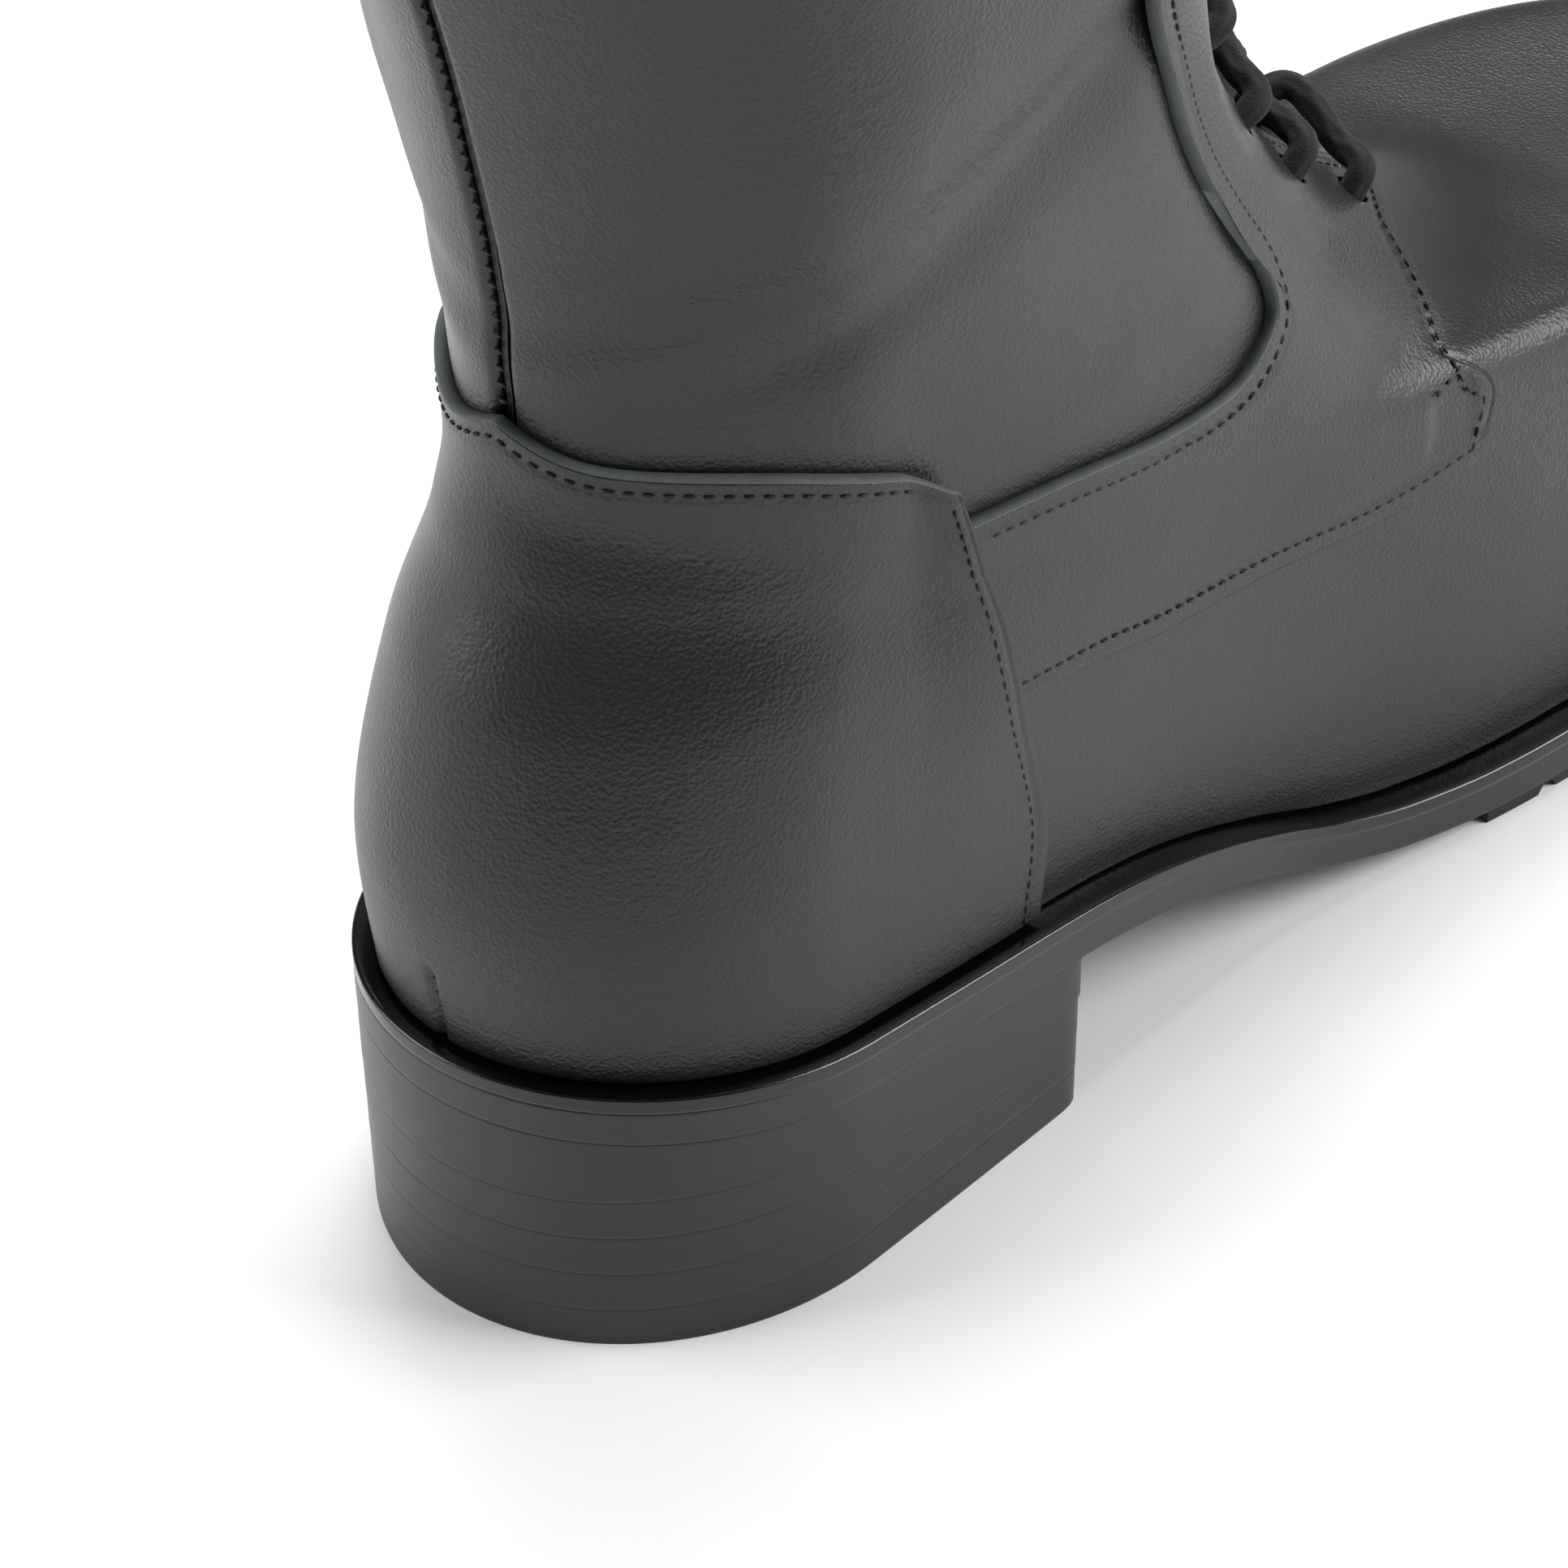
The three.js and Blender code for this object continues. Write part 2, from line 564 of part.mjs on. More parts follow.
/** The quarter's free front edge meets the eyelet stay under the facing. */
const stayEdge = (v, reach) => besideFront(v, throatHalfGap(v) + reach);
const quarterBottom = [[30, 108.5], [40, 107], [52, 103], [64, 95], [90, 87.5], [112, 89]];
function quarterArea() {
  const backSeam = 0.0035; // half of the open back seam, as a share of the way round
  const ringsUp = [4.7, 5.4, 6.2, 7, collarRing].map((v) => stayEdge(v, stayWidth + gap + 0.5));
  const low = [backSeam, locate([19, 112.5])[1]];
  const bottom = edge([low, ...quarterBottom.map(locate), ringsUp[0]]);
  const high = [backSeam, collarRing];
  return patch(bottom, edge([high, ringsUp[4]]), edge([low, high]), edge(ringsUp));
}
function stayArea() {
  const ringsUp = [3.98, 5, 6, 7, collarRing - 0.04];
  const [near, far] = [0.8, stayWidth].map((reach) => edge(ringsUp.map((v) => stayEdge(v, reach))));
  return patch(near, far, edge([near(0), far(0)]), edge([near(1), far(1)]));
}
const [quarter, stay] = [quarterArea(), stayArea()];
const barrel = eyeletBore + barrelWall;
const flangeTop = levels.quarterLining[0] - flangeDrop;
for (const [name, side] of sides) {
  const sheet = sidePanel(side, facing, levels.overlay, 30, 4);
  add(`${name}_facing`, 'blackLeather', cut(sheet, borers(side, eyeletBore + 2 * gap)));
  add(`${name}_quarter`, 'blackLeather', sidePanel(side, quarter, levels.outer, 14, 14));
  const tape = sidePanel(side, stay, levels.outer, 16, 2);
  add(`${name}_eyelet_stay`, 'fibreboard', cut(tape, borers(side, barrel + gap)));
  for (const k of pairs) {
    const profile = [[eyeletBore, flangeTop - barrelWall], [barrel + flangeReach, flangeTop - barrelWall],
      [barrel + flangeReach, flangeTop], [barrel, flangeTop], [barrel, -gap], [eyeletBore, -gap],
      [eyeletBore, flangeTop - barrelWall]].map(([x, y]) => new THREE.Vector2(x, y));
    const ring = facingOut(closedGeometry(...loose(new THREE.LatheGeometry(profile, 8))));
    add(`${name}_eyelet_${k + 1}`, 'blackedBrass', ontoEyelet(ring, eyeletAxis(side, k)));
  }
}

// ---- vamp and linings
const vampRing = 3.8; // top of the vamp at the front centre line
function vampArea() {
  const start = besideCounter(-lap, counterFoot, 78);
  const top = edge([start(1), locate([97, 76]), locate([128, 72]), locate([149, 73]), locate([152, 84]),
    besideFront(vampRing, 14 * across), [1, vampRing]]);
  return patch(edge([start(0), [1, footRing]]), top, start, edge([[1, footRing], [1, vampRing]]));
}
add('vamp', 'blackLeather', frontPanel(vampArea(), levels.outer, 28, 8));

const liningTop = collarRing - 0.05;
const footAt = (x) => [locate([x, ringHeight(footRing, x * along)])[0], footRing];
function quarterLiningArea() {
  const front = edge([3.98, 5, 6, 7, liningTop].map((v) => stayEdge(v, 0.8)));
  const bottom = edge([[0, footRing], footAt(118), locate([146, 66]), front(0)], 1);
  return patch(bottom, edge([[0, liningTop], front(1)]), edge([[0, footRing], [0, liningTop]]), front);
}
const quarterLining = backPanel(quarterLiningArea(), levels.quarterLining, 28, 10);
const liningBorers = [...borers(rightSide, barrel + gap), ...borers(leftSide, barrel + gap)];
add('quarter_lining', 'liningLeather', cut(quarterLining, liningBorers));

const vampTop = 3.83;
function vampLiningArea() {
  const start = edge([footAt(108), locate([136, 64])]);
  const top = edge([start(1), locate([156, 82]), besideFront(vampTop, 12 * across), [1, vampTop]]);
  return patch(edge([start(0), [1, footRing]]), top, start, edge([[1, footRing], [1, vampTop]]));
}
add('vamp_lining', 'liningLeather', frontPanel(vampLiningArea(), levels.vampLining, 28, 8));

function toePuffArea() {
  const start = edge([footAt(246), locate([246, 40])]);
  const top = edge([start(1), locate([252, 56]), [1, 2.3]]);
  return patch(edge([start(0), [1, footRing]]), top, start, edge([[1, footRing], [1, 2.3]]));
}
add('toe_puff', 'fibreboard', frontPanel(toePuffArea(), levels.toePuff, 22, 7));

// ---- tongue, hinged where it is sewn in under the vamp
const tongueBase = 3.6;
const tongueRise = 10; // how far it stands above the collar
const tongueBaseLevel = levels.vampLining[0] - layerGap;
const laceUnder = flangeTop - barrelWall - laceDiameter / 2 - 0.4; // lace under the linings
const tongueLevel = laceUnder - laceDiameter / 2 - 0.5; // tongue's outer face
const tongueLeather = 1.6;
function tongueFace(depth) {
  return (s, r) => {
    const v = THREE.MathUtils.lerp(tongueBase, collarRing, Math.min(1, r / 0.94));
    const halfWidth = THREE.MathUtils.mapLinear(v, tongueBase, collarRing, 20, 32) * across;
    const dip = THREE.MathUtils.smoothstep(v, 3.72, 4);
    const level = THREE.MathUtils.lerp(tongueBaseLevel, tongueLevel, dip) - depth;
    const [side] = besideFront(v, halfWidth);
    const u = THREE.MathUtils.lerp(side, 1, 1 - Math.abs(2 * s - 1));
    const point = skin(s < 0.5 ? -u : u, v, level);
    point.z += tongueRise * Math.max(0, (r - 0.94) / 0.06);
    return point;
  };
}
add('tongue', 'blackLeather', plate(8, 13, tongueFace(tongueLeather), tongueFace(0)));
const tongueLiningDepth = tongueLeather + gap;
add('tongue_lining', 'liningLeather', plate(8, 13,
  tongueFace(tongueLiningDepth + liningLeather), tongueFace(tongueLiningDepth)));

// ---- lace
const laceOver = levels.overlay[1] + laceDiameter / 2 + 0.9;
/** Lace from the inside of one eyelet over the throat to the inside of the next on the other side. */
function crossing(side, k, crest) {
  const from = eyeletAxis(side, k);
  const to = eyeletAxis(-side, k + 1);
  const onAxis = ({ foot, out }, height) => foot.clone().addScaledVector(out, height);
  const beside = (which, k2, reach, height) => {
    const v = eyeletRing(k2);
    const [u] = besideFront(v, throatHalfGap(v) + reach);
    return skin(which * u, v, height);
  };
  const middle = skin(1, eyeletRing(k + 0.5), crest);
  return [
    onAxis(from, laceUnder / 2), onAxis(from, levels.overlay[1] - 0.4),
    beside(side, k + 0.04, eyeletSet - 1.4, laceOver), beside(side, k + 0.2, 1, laceOver), middle,
    beside(-side, k + 0.72, -3.2, (crest + laceUnder) / 2), beside(-side, k + 0.8, -0.8, laceUnder + 0.3),
    beside(-side, k + 0.88, 2, laceUnder), beside(-side, k + 0.98, eyeletSet - 1.4, laceUnder),
    onAxis(to, laceUnder + 1.6),
  ];
}
/** One end of the lace, from the lowest eyelet on a side up to the knot. */
function laceEnd(startSide, crest) {
  const route = [];
  let side = startSide;
  for (let k = 0; k < eyeletPairs - 1; k += 1) {
    route.push(...crossing(side, k, crest));
    side = -side;
  }
  const last = eyeletAxis(side, eyeletPairs - 1);
  const v = eyeletRing(eyeletPairs - 1);
  const [u] = besideFront(v, throatHalfGap(v) + 3.5);
  const [turn] = besideFront(v, throatHalfGap(v) + eyeletSet - 1.4);
  route.push(last.foot.clone().addScaledVector(last.out, levels.overlay[1] - 0.4));
  route.push(skin(side * turn, v, laceOver), skin(side * u, v, laceOver));
  route.push(skin(1, v, laceOver + 3).setY(side * (knotHalfWidth + 3 * gap)));
  return route;
}
const knotHalfWidth = 6.5;
const lowest = eyeletRing(0);
const barAt = (y) => {
  const [u] = besideFront(lowest, Math.abs(y));
  return skin(Math.sign(y) * u, lowest, laceUnder);
};
const barReach = throatHalfGap(lowest) + eyeletSet - 1.4;
const intoEyelet = (side) => {
  const { foot, out } = eyeletAxis(side, 0);
  return foot.addScaledVector(out, laceUnder + 1.6);
};
const laceRoute = [...laceEnd(rightSide, laceOver + 3.4).reverse(), intoEyelet(rightSide),
  barAt(-barReach), barAt(-barReach / 2), barAt(barReach / 2), barAt(barReach), intoEyelet(leftSide),
  ...laceEnd(leftSide, laceOver - 2)];
add('lace', 'laceYarn', cord(laceRoute, 300, 6));

// ---- bow: the knot, then its loops and hanging ends, drawn on the right and mirrored
const knotCentre = skin(1, eyeletRing(eyeletPairs - 1), laceOver + 3);
add('bow_knot', 'laceYarn', new THREE.SphereGeometry(1, 14, 10)
  .scale(5, knotHalfWidth, 6).translate(knotCentre.x, knotCentre.y, knotCentre.z));
// the middle of the lace from the knot's middle: forward, outward and up
const loopRoute = [
  [0.9, 6.8, 5.3], [0.4, 10.5, 6.8], [-1.6, 15.5, 5.9], [-5.1, 21, 1.2], [-9.1, 26.5, -6.6],
  [-14.1, 31, -15.6], [-18.1, 34, -25.1], [-20.6, 35.3, -34.6], [-20.8, 34.3, -42.6], [-18.4, 31.5, -48.1],
  [-14.4, 27.7, -49.6], [-10, 24, -46.1], [-6.1, 21, -38.6], [-3, 18, -29.6], [-0.4, 14.9, -20.1],
  [2.4, 11.3, -11.8], [4.2, 8.4, -6.6],
];
const tailRoute = [
  [3.4, 2.7, -6.3], [5.1, 3.9, -10.9], [5.6, 6, -15.6], [5.4, 8.4, -20], [4.7, 11.1, -24.3],
  [3.5, 13.7, -28.5], [1.9, 16.3, -32.6], [0.3, 18.5, -36.9], [-1.4, 20.4, -41.3], [-3.2, 21.9, -45.8],
  [-5, 22.9, -50.4], [-6.4, 23.3, -55.3], [-7.1, 23.5, -60.3], [-7, 23.4, -65.4], [-6.4, 23.2, -70.5],
  [-5.4, 23, -75.6],
];
const agletLength = 20;
const agletRadius = 1.8;
const toPath = (route, side) => route.map(([x, y, z]) => (
  new THREE.Vector3(knotCentre.x + x, side * y * across, knotCentre.z + z)));
const freeCords = [];
for (const [name, side] of sides) {
  add(`bow_loop_${name}`, 'laceYarn', cord(toPath(loopRoute, side), 34));
  const tail = toPath(tailRoute, side);
  add(`lace_tail_${name}`, 'laceYarn', cord(tail, 20));
  const [before, end] = tail.slice(-2);
  const heading = end.clone().sub(before).normalize();
  const turn = new THREE.Quaternion().setFromUnitVectors(new THREE.Vector3(0, 1, 0), heading);
  const seat = end.clone().addScaledVector(heading, agletLength / 2 + gap);
  add(`aglet_${name}`, 'laceYarn', new THREE.CylinderGeometry(agletRadius, agletRadius, agletLength, 10)
    .applyQuaternion(turn).translate(seat.x, seat.y, seat.z));
  freeCords.push(`bow_loop_${name}`, `lace_tail_${name}`, `aglet_${name}`);
}

// ---- origin: the middle of the boot's box, on the ground
const box = new THREE.Box3();
boot.children.filter((mesh) => !freeCords.includes(mesh.name)).forEach((mesh) => box.expandByObject(mesh));
const middle = box.getCenter(new THREE.Vector3());
boot.position.set(-middle.x, -middle.y, -box.min.z);

export default boot;
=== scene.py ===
"""Finished pieces of a lace-up leather boot with a block heel, laid over its frame."""
import json
import logging
import math
from dataclasses import dataclass, field
from enum import Enum
from typing import Callable, Sequence

import bmesh
import bpy
import numpy as np
from mathutils import Matrix, Vector


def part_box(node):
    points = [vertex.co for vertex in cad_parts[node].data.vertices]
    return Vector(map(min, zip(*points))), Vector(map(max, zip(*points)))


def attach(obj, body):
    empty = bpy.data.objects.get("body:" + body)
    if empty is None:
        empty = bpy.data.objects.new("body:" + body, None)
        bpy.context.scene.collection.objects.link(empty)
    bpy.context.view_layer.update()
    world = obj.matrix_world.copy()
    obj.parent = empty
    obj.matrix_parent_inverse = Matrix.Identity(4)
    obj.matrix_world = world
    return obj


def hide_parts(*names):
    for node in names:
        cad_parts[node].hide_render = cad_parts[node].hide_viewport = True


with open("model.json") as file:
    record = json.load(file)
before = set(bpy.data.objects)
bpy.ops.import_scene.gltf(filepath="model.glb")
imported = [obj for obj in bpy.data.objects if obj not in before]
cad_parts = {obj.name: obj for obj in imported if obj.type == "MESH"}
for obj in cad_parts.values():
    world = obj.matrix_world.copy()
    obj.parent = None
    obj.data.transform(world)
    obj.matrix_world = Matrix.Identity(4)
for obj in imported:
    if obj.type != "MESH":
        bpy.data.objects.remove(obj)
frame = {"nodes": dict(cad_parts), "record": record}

log = logging.getLogger("boot")
Array = np.ndarray
Area = Callable[[Array, Array], tuple[Array, Array]]
Edge = Callable[[Array], Array]
Height = Callable[[Array], Array]

MM = 0.001
RINGS = 8  # number of the ring at the collar


class Side(Enum):
    """The two sides of the boot, with their sign along Y."""

    RIGHT = -1
    LEFT = 1

    @property
    def word(self) -> str:
        """The side's name in piece names."""
        return self.name.lower()


# ---------------------------------------------------------------- smooth laws
def hermite(x: Array, knots: Array, values: Array) -> Array:
    """Smooth law through knots that never overshoots them.

    Args:
        x: where it is read.
        knots: rising positions of the knots.
        values: one row of values a knot.

    Returns:
        One row of values for each x.
    """
    secant = np.diff(values, axis=0) / np.diff(knots).reshape((-1,) + (1,) * (values.ndim - 1))
    before = np.concatenate([secant[:1], secant])
    after = np.concatenate([secant, secant[-1:]])
    total = np.where(before * after > 0, before + after, 1.0)
    slope = np.where(before * after > 0, 2 * before * after / total, 0.0)
    x = np.asarray(x, float)
    i = np.clip(np.searchsorted(knots, x, side="right") - 1, 0, len(knots) - 2)
    width = (knots[i + 1] - knots[i]).reshape(x.shape + (1,) * (values.ndim - 1))
    t = np.clip((x - knots[i]) / (knots[i + 1] - knots[i]), 0, 1).reshape(width.shape)
    s = 1 - t
    ends = values[i] * (1 + 2 * t) * s * s + values[i + 1] * (1 + 2 * s) * t * t
    return ends + width * t * s * (slope[i] * s - slope[i + 1] * t)


def law(*knots: tuple[float, float]) -> Callable[[Array], Array]:
    """A smooth law of one variable through its knots."""
    table = np.array(knots, float)
    return lambda x: hermite(np.asarray(x, float), table[:, 0], table[:, 1])


def step(x: Array, low: float, high: float) -> Array:
    """Smooth step from 0 at low to 1 at high."""
    t = np.clip((np.asarray(x, float) - low) / (high - low), 0, 1)
    return t * t * (3 - 2 * t)


def mix(a: Array, b: Array, t: Array) -> Array:
    """Straight blend from a to b."""
    return a + (b - a) * t


def hill(x: Array, centre: float, reach: float) -> Array:
    """Smooth hill of height 1 at its centre, which falls to a third at its reach."""
    return np.exp(-(((x - centre) / reach) ** 2))


def raised(height: Height, lift: float) -> Height:
    """A height law moved up by a lift."""
    return lambda x: height(x) + lift


def level(height: float) -> Height:
    """A height law that is the same everywhere."""
    return lambda x: np.full(np.shape(x), float(height))


def distances(points: Array) -> Array:
    """Distance of each point along a line of points."""
    return np.concatenate([[0], np.cumsum(np.linalg.norm(np.diff(points, axis=0), axis=1))])


class Spline:
    """Smooth line through points, with even tension between uneven points."""

    def __init__(self, points: Sequence[Sequence[float]]) -> None:
        """Keeps the points, with one more beyond each end."""
        inner = np.array(points, float)
        self.points = np.vstack([2 * inner[0] - inner[1], inner, 2 * inner[-1] - inner[-2]])

    def __call__(self, share: Array) -> Array:
        """Points of the line.

        Args:
            share: 0 at the first point to 1 at the last.

        Returns:
            One row for each share.
        """
        share = np.asarray(share, float)
        place = np.clip(share, 0, 1) * (len(self.points) - 3)
        i = np.minimum(place.astype(int), len(self.points) - 4)
        t = (place - i)[..., None]
        a, b, c, d = (self.points[i + k] for k in range(4))
        gap = [np.maximum(np.linalg.norm(q - p, axis=-1, keepdims=True) ** 0.5, 1e-6)
            for p, q in ((a, b), (b, c), (c, d))]
        start = ((b - a) / gap[0] - (c - a) / (gap[0] + gap[1]) + (c - b) / gap[1]) * gap[1]
        end = ((c - b) / gap[1] - (d - b) / (gap[1] + gap[2]) + (d - c) / gap[2]) * gap[1]
        return (2 * t**3 - 3 * t**2 + 1) * b + (t**3 - 2 * t**2 + t) * start + (3 * t**2 - 2
            * t**3) * c + (t**3 - t**2) * end

    def evenly(self, spacing: float) -> Array:
        """Points along the line at an even spacing.

        Args:
            spacing: distance between points.

        Returns:
            The points, from the first end to the last.
        """
        fine = self(np.linspace(0, 1, 40 * len(self.points)))
        run = distances(fine)
        count = max(8, round(run[-1] / spacing))
        wanted = np.linspace(0, run[-1], count + 1)
        return np.stack([np.interp(wanted, run, fine[:, k]) for k in range(fine.shape[1])], -1)


# ---------------------------------------------------------------- the boot's form
@dataclass
class BootForm:
    """Shape that every piece is made to, in millimetres from the back of the sole."""

    length: float = 302.0
    outsole: float = 5.0
    tread: float = 2.4
    welt: float = 2.4
    welt_width: float = 4.8
    heel_length: float = 84.0
    top_piece: float = 6.0
    gap: float = 0.3
    leather: float = 1.8
    lace: float = 4.0
    pairs: int = 10
    eyelet_set: float = 7.0
    counter_corner: float = 110.5
    origin: Array = field(default_factory=lambda: np.zeros(3))

    def __post_init__(self) -> None:
        """Sets up the rings, which run from the feather line to the collar."""
        self.heel_pitch = law(
            (0, 1), (0.1, 0.895), (0.2, 0.785), (0.28, 0.69), (0.33, 0.595), (0.37, 0.475), (0.414, 0.309),
            (0.457, 0.147), (0.5, 0.046), (0.55, 0.004), (0.6, 0), (0.7, 0),
        )
        self.toe_pitch = law((0.7, 0), (0.74, 0), (0.8, 0.06), (0.9, 0.38), (1, 1))
        # back x, rise | front x, rise | back and front roundness | sag | half widths, outer | inner
        self.rings = np.array([
            [4.8, 0, 297, 0, 36, 75, 1, 31, 32, 32.5, 42, 49, 43, 31, 31.5, 28, 38, 48, 43],
            [3, 19, 291, 27, 34, 70, 0.8, 31, 34, 34.5, 43, 48, 41, 29.6, 32.5, 31, 40, 47, 41],
            [8.5, 45, 268, 60, 32, 60, 0.4, 27, 33, 34, 39, 41, 34, 25.6, 31, 33, 36, 32, 32],
            [16, 63, 214, 63.5, 30, 50, 0.1, 23, 31, 34, 35, 31, 22, 22, 29.5, 34, 32, 28, 19],
            [19, 78, 174, 80, 30, 45, 0, 21.5, 31.3, 34, 33, 28, 20, 21.5, 31.3, 34, 33, 28, 20],
            [18.6, 97, 144, 99.5, 30, 42, 0, 24.5, 33, 35, 34, 30, 22, 24.5, 33, 35, 34, 30, 22],
            [14.6, 122, 126, 123.5, 32, 42, 0, 26, 37, 38, 38, 34, 26, 26, 37, 38, 38, 34, 26],
            [5, 157, 118, 167, 38, 46, 0, 30.5, 41, 43.3, 43, 40, 32, 30.5, 41, 43.3, 43, 40, 32],
            [-12, 207, 119, 232, 48, 54, 0, 39, 47, 48, 48, 45, 40, 39, 47, 48, 48, 45, 40],
        ])
        self.rings[:, [1, 3]] *= (250 - self.feather(0)) / 207
        self.counter_front = law((33, 76), (52.4, 74.5), (73.8, 68), (96, 62.5), (110.5, 57))
        steps = np.linspace(4.08, RINGS - 0.14, 61)
        front = self.shell(np.ones(61), steps)
        run = distances(front)
        self.eyelet_rings = np.interp(np.linspace(0, run[-1], self.pairs), run, steps)
        self.frame_from(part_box("outsole")[0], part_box("shank"))

    def frame_from(self, sole_low: Vector, shank: tuple[Vector, Vector]) -> None:
        """Finds where the frame has the back of the sole and the heel's axis."""
        self.origin = np.array([sole_low.x / MM - 0.05, (shank[0].y + shank[1].y) / 2 / MM, 0.0])

    def metres(self, points: Array) -> Array:
        """Form millimetres to frame metres."""
        return (np.asarray(points, float) + self.origin) * MM

    def sole_top(self, x: Array) -> Array:
        """Height of the outsole's upper face."""
        share = np.asarray(x, float) / self.length
        return self.outsole + self.tread + 32.7 * self.heel_pitch(share) + 8 * self.toe_pitch(share)

    def feather(self, x: Array) -> Array:
        """Height of the line where the upper meets the welt."""
        return self.sole_top(x) + self.welt

    def ring(self, v: Array) -> Array:
        """The ring rows read at v."""
        return hermite(np.asarray(v, float), np.arange(9.0), self.rings)

    def ring_height(self, v: Array, x: Array) -> Array:
        """Height of ring v at x.

        Args:
            v: the ring.
            x: distance from the back of the sole.

        Returns:
            Height above the ground.
        """
        row = self.ring(v)
        t = (x - row[..., 0]) / (row[..., 2] - row[..., 0])
        base = mix(self.feather(row[..., 0]), self.feather(row[..., 2]), t)
        return mix(row[..., 1], row[..., 3], t) + mix(base, self.feather(x), row[..., 6])

    def shell(self, u: Array, v: Array) -> Array:
        """Points of the upper's outer face.

        Args:
            u: 0 at the back to 1 (left) or -1 (right) at the front.
            v: the ring, 0 at the welt to 8 at the collar.

        Returns:
            One point for each pair.
        """
        u, v = np.broadcast_arrays(np.asarray(u, float), np.asarray(v, float))
        row = self.ring(v)
        t = (1 - np.cos(np.pi * np.abs(u))) / 2
        length = row[..., 2] - row[..., 0]
        x = row[..., 0] + t * length
        widths = np.where((u < 0)[..., None], row[..., 7:13], row[..., 13:19])
        secant = np.diff(widths, axis=-1) * 5
        before = np.concatenate([secant[..., :1], secant], -1)
        after = np.concatenate([secant, secant[..., -1:]], -1)
        total = np.where(before * after > 0, before + after, 1.0)
        slope = np.where(before * after > 0, 2 * before * after / total, 0.0)
        i = np.minimum((t * 5).astype(int), 4)[..., None]
        p = (t * 5)[..., None] - i
        q = 1 - p
        near, far = (np.take_along_axis(widths, i + k, -1) for k in (0, 1))
        out, back = (np.take_along_axis(slope, i + k, -1) for k in (0, 1))
        body = (near * (1 + 2 * p) * q * q + far * (1 + 2 * q) * p * p + 0.2 * p * q
            * (out * q - back * p))[..., 0]
        heel = np.maximum(0, 1 - t * length / row[..., 4])
        toe = np.maximum(0, 1 - (1 - t) * length / row[..., 5])
        y = np.where(u < 0, -1, 1) * body * np.sqrt(1 - heel * heel) * np.sqrt(1 - toe * toe)
        return np.stack([x, y, self.ring_height(v, x)], -1)

    def normal(self, u: Array, v: Array) -> Array:
        """Outward directions of the shell.

        Args:
            u: signed around value.
            v: the ring.

        Returns:
            One unit vector for each pair.
        """
        d = 0.004
        around = self.shell(np.minimum(u + d, 1), v) - self.shell(np.maximum(u - d, -1), v)
        up = self.shell(u, np.minimum(v + d, RINGS)) - self.shell(u, np.maximum(v - d, 0))
        out = np.cross(up, around)
        return out / np.linalg.norm(out, axis=-1, keepdims=True)

    def skin(self, u: Array, v: Array, height: Array) -> Array:
        """Points at a height above the shell, wrapped across the front centre line.

        Args:
            u: signed around value, beyond 1 past the front centre line.
            v: the ring.
            height: distance outwards from the shell.

        Returns:
            One point for each.
        """
        u, v, height = np.broadcast_arrays(*(np.asarray(a, float) for a in (u, v, height)))
        wrapped = np.where(np.abs(u) > 1, u - 2 * np.sign(u), u)
        return self.shell(wrapped, v) + self.normal(np.clip(wrapped, -0.997, 0.997), v) * height[..., None]

    def locate(self, x: float, z: float) -> Array:
        """Around and ring values of the shell point seen at x and z from the side.

        Args:
            x: distance from the back of the sole.
            z: height above the ground.

        Returns:
            The around value and the ring.
        """
        low, high = 0.0, float(RINGS)
        for _ in range(36):
            middle = (low + high) / 2
            low, high = (middle, high) if self.ring_height(middle, x) < z else (low, middle)
        row = self.ring(low)
        t = np.clip((x - row[0]) / (row[2] - row[0]), 0, 1)
        return np.array([math.acos(1 - 2 * t) / math.pi, low])

    def beside_front(self, v: Array, half_width: Array) -> Array:
        """Around values of the points of ring v at a half width from the front centre line.

        Args:
            v: the ring.
            half_width: distance from the centre line.

        Returns:
            Around values, 0.5 to 1.
        """
        v, half_width = np.broadcast_arrays(np.asarray(v, float), np.asarray(half_width, float))
        low, high = np.full(v.shape, 0.5), np.ones(v.shape)
        for _ in range(36):
            middle = (low + high) / 2
            wide = self.shell(middle, v)[..., 1] > half_width
            low, high = np.where(wide, middle, low), np.where(wide, high, middle)
        return low

    def throat(self, v: Array) -> Array:
        """Half width of the open throat at ring v."""
        return 7 + (np.asarray(v, float) - 4) * 3 / 4

    def eyelet_ring(self, k: Array) -> Array:
        """Ring of lace hole k, counted from the lowest."""
        return np.interp(k, np.arange(self.pairs), self.eyelet_rings)

    def by_front(self, side: int, v: Array, reach: float, height: Array) -> Array:
        """Points on ring v that lie a reach behind the facing's edge."""
        return self.skin(side * self.beside_front(v, self.throat(v) + reach), v, height)

    def eyelet(self, side: int, k: int) -> tuple[Array, Array]:
        """Foot and outward direction of a lace hole.

        Args:
            side: -1 or 1.
            k: number of the hole from the lowest, 0.

        Returns:
            The point on the shell and the outward direction.
        """
        v = self.eyelet_ring(k)
        u = side * self.beside_front(v, self.throat(v) + self.eyelet_set)
        return self.shell(u, v), self.normal(u, v)

    def sole_edge(self, u: Array, inset: float) -> Array:
        """Plan points of the sole's outline, moved inwards by inset.

        Args:
            u: signed around value.
            inset: distance inwards from the welt's edge.

        Returns:
            Plan points, x and y.
        """
        u = np.asarray(u, float)
        near, far = self.shell(np.maximum(u - 0.004, -1), 0.0), self.shell(np.minimum(u + 0.004, 1), 0.0)
        out = np.stack([near[..., 1] - far[..., 1], far[..., 0] - near[..., 0]], -1)
        out /= np.linalg.norm(out, axis=-1, keepdims=True)
        return self.shell(u, 0.0)[..., :2] + out * (self.welt_width - inset)


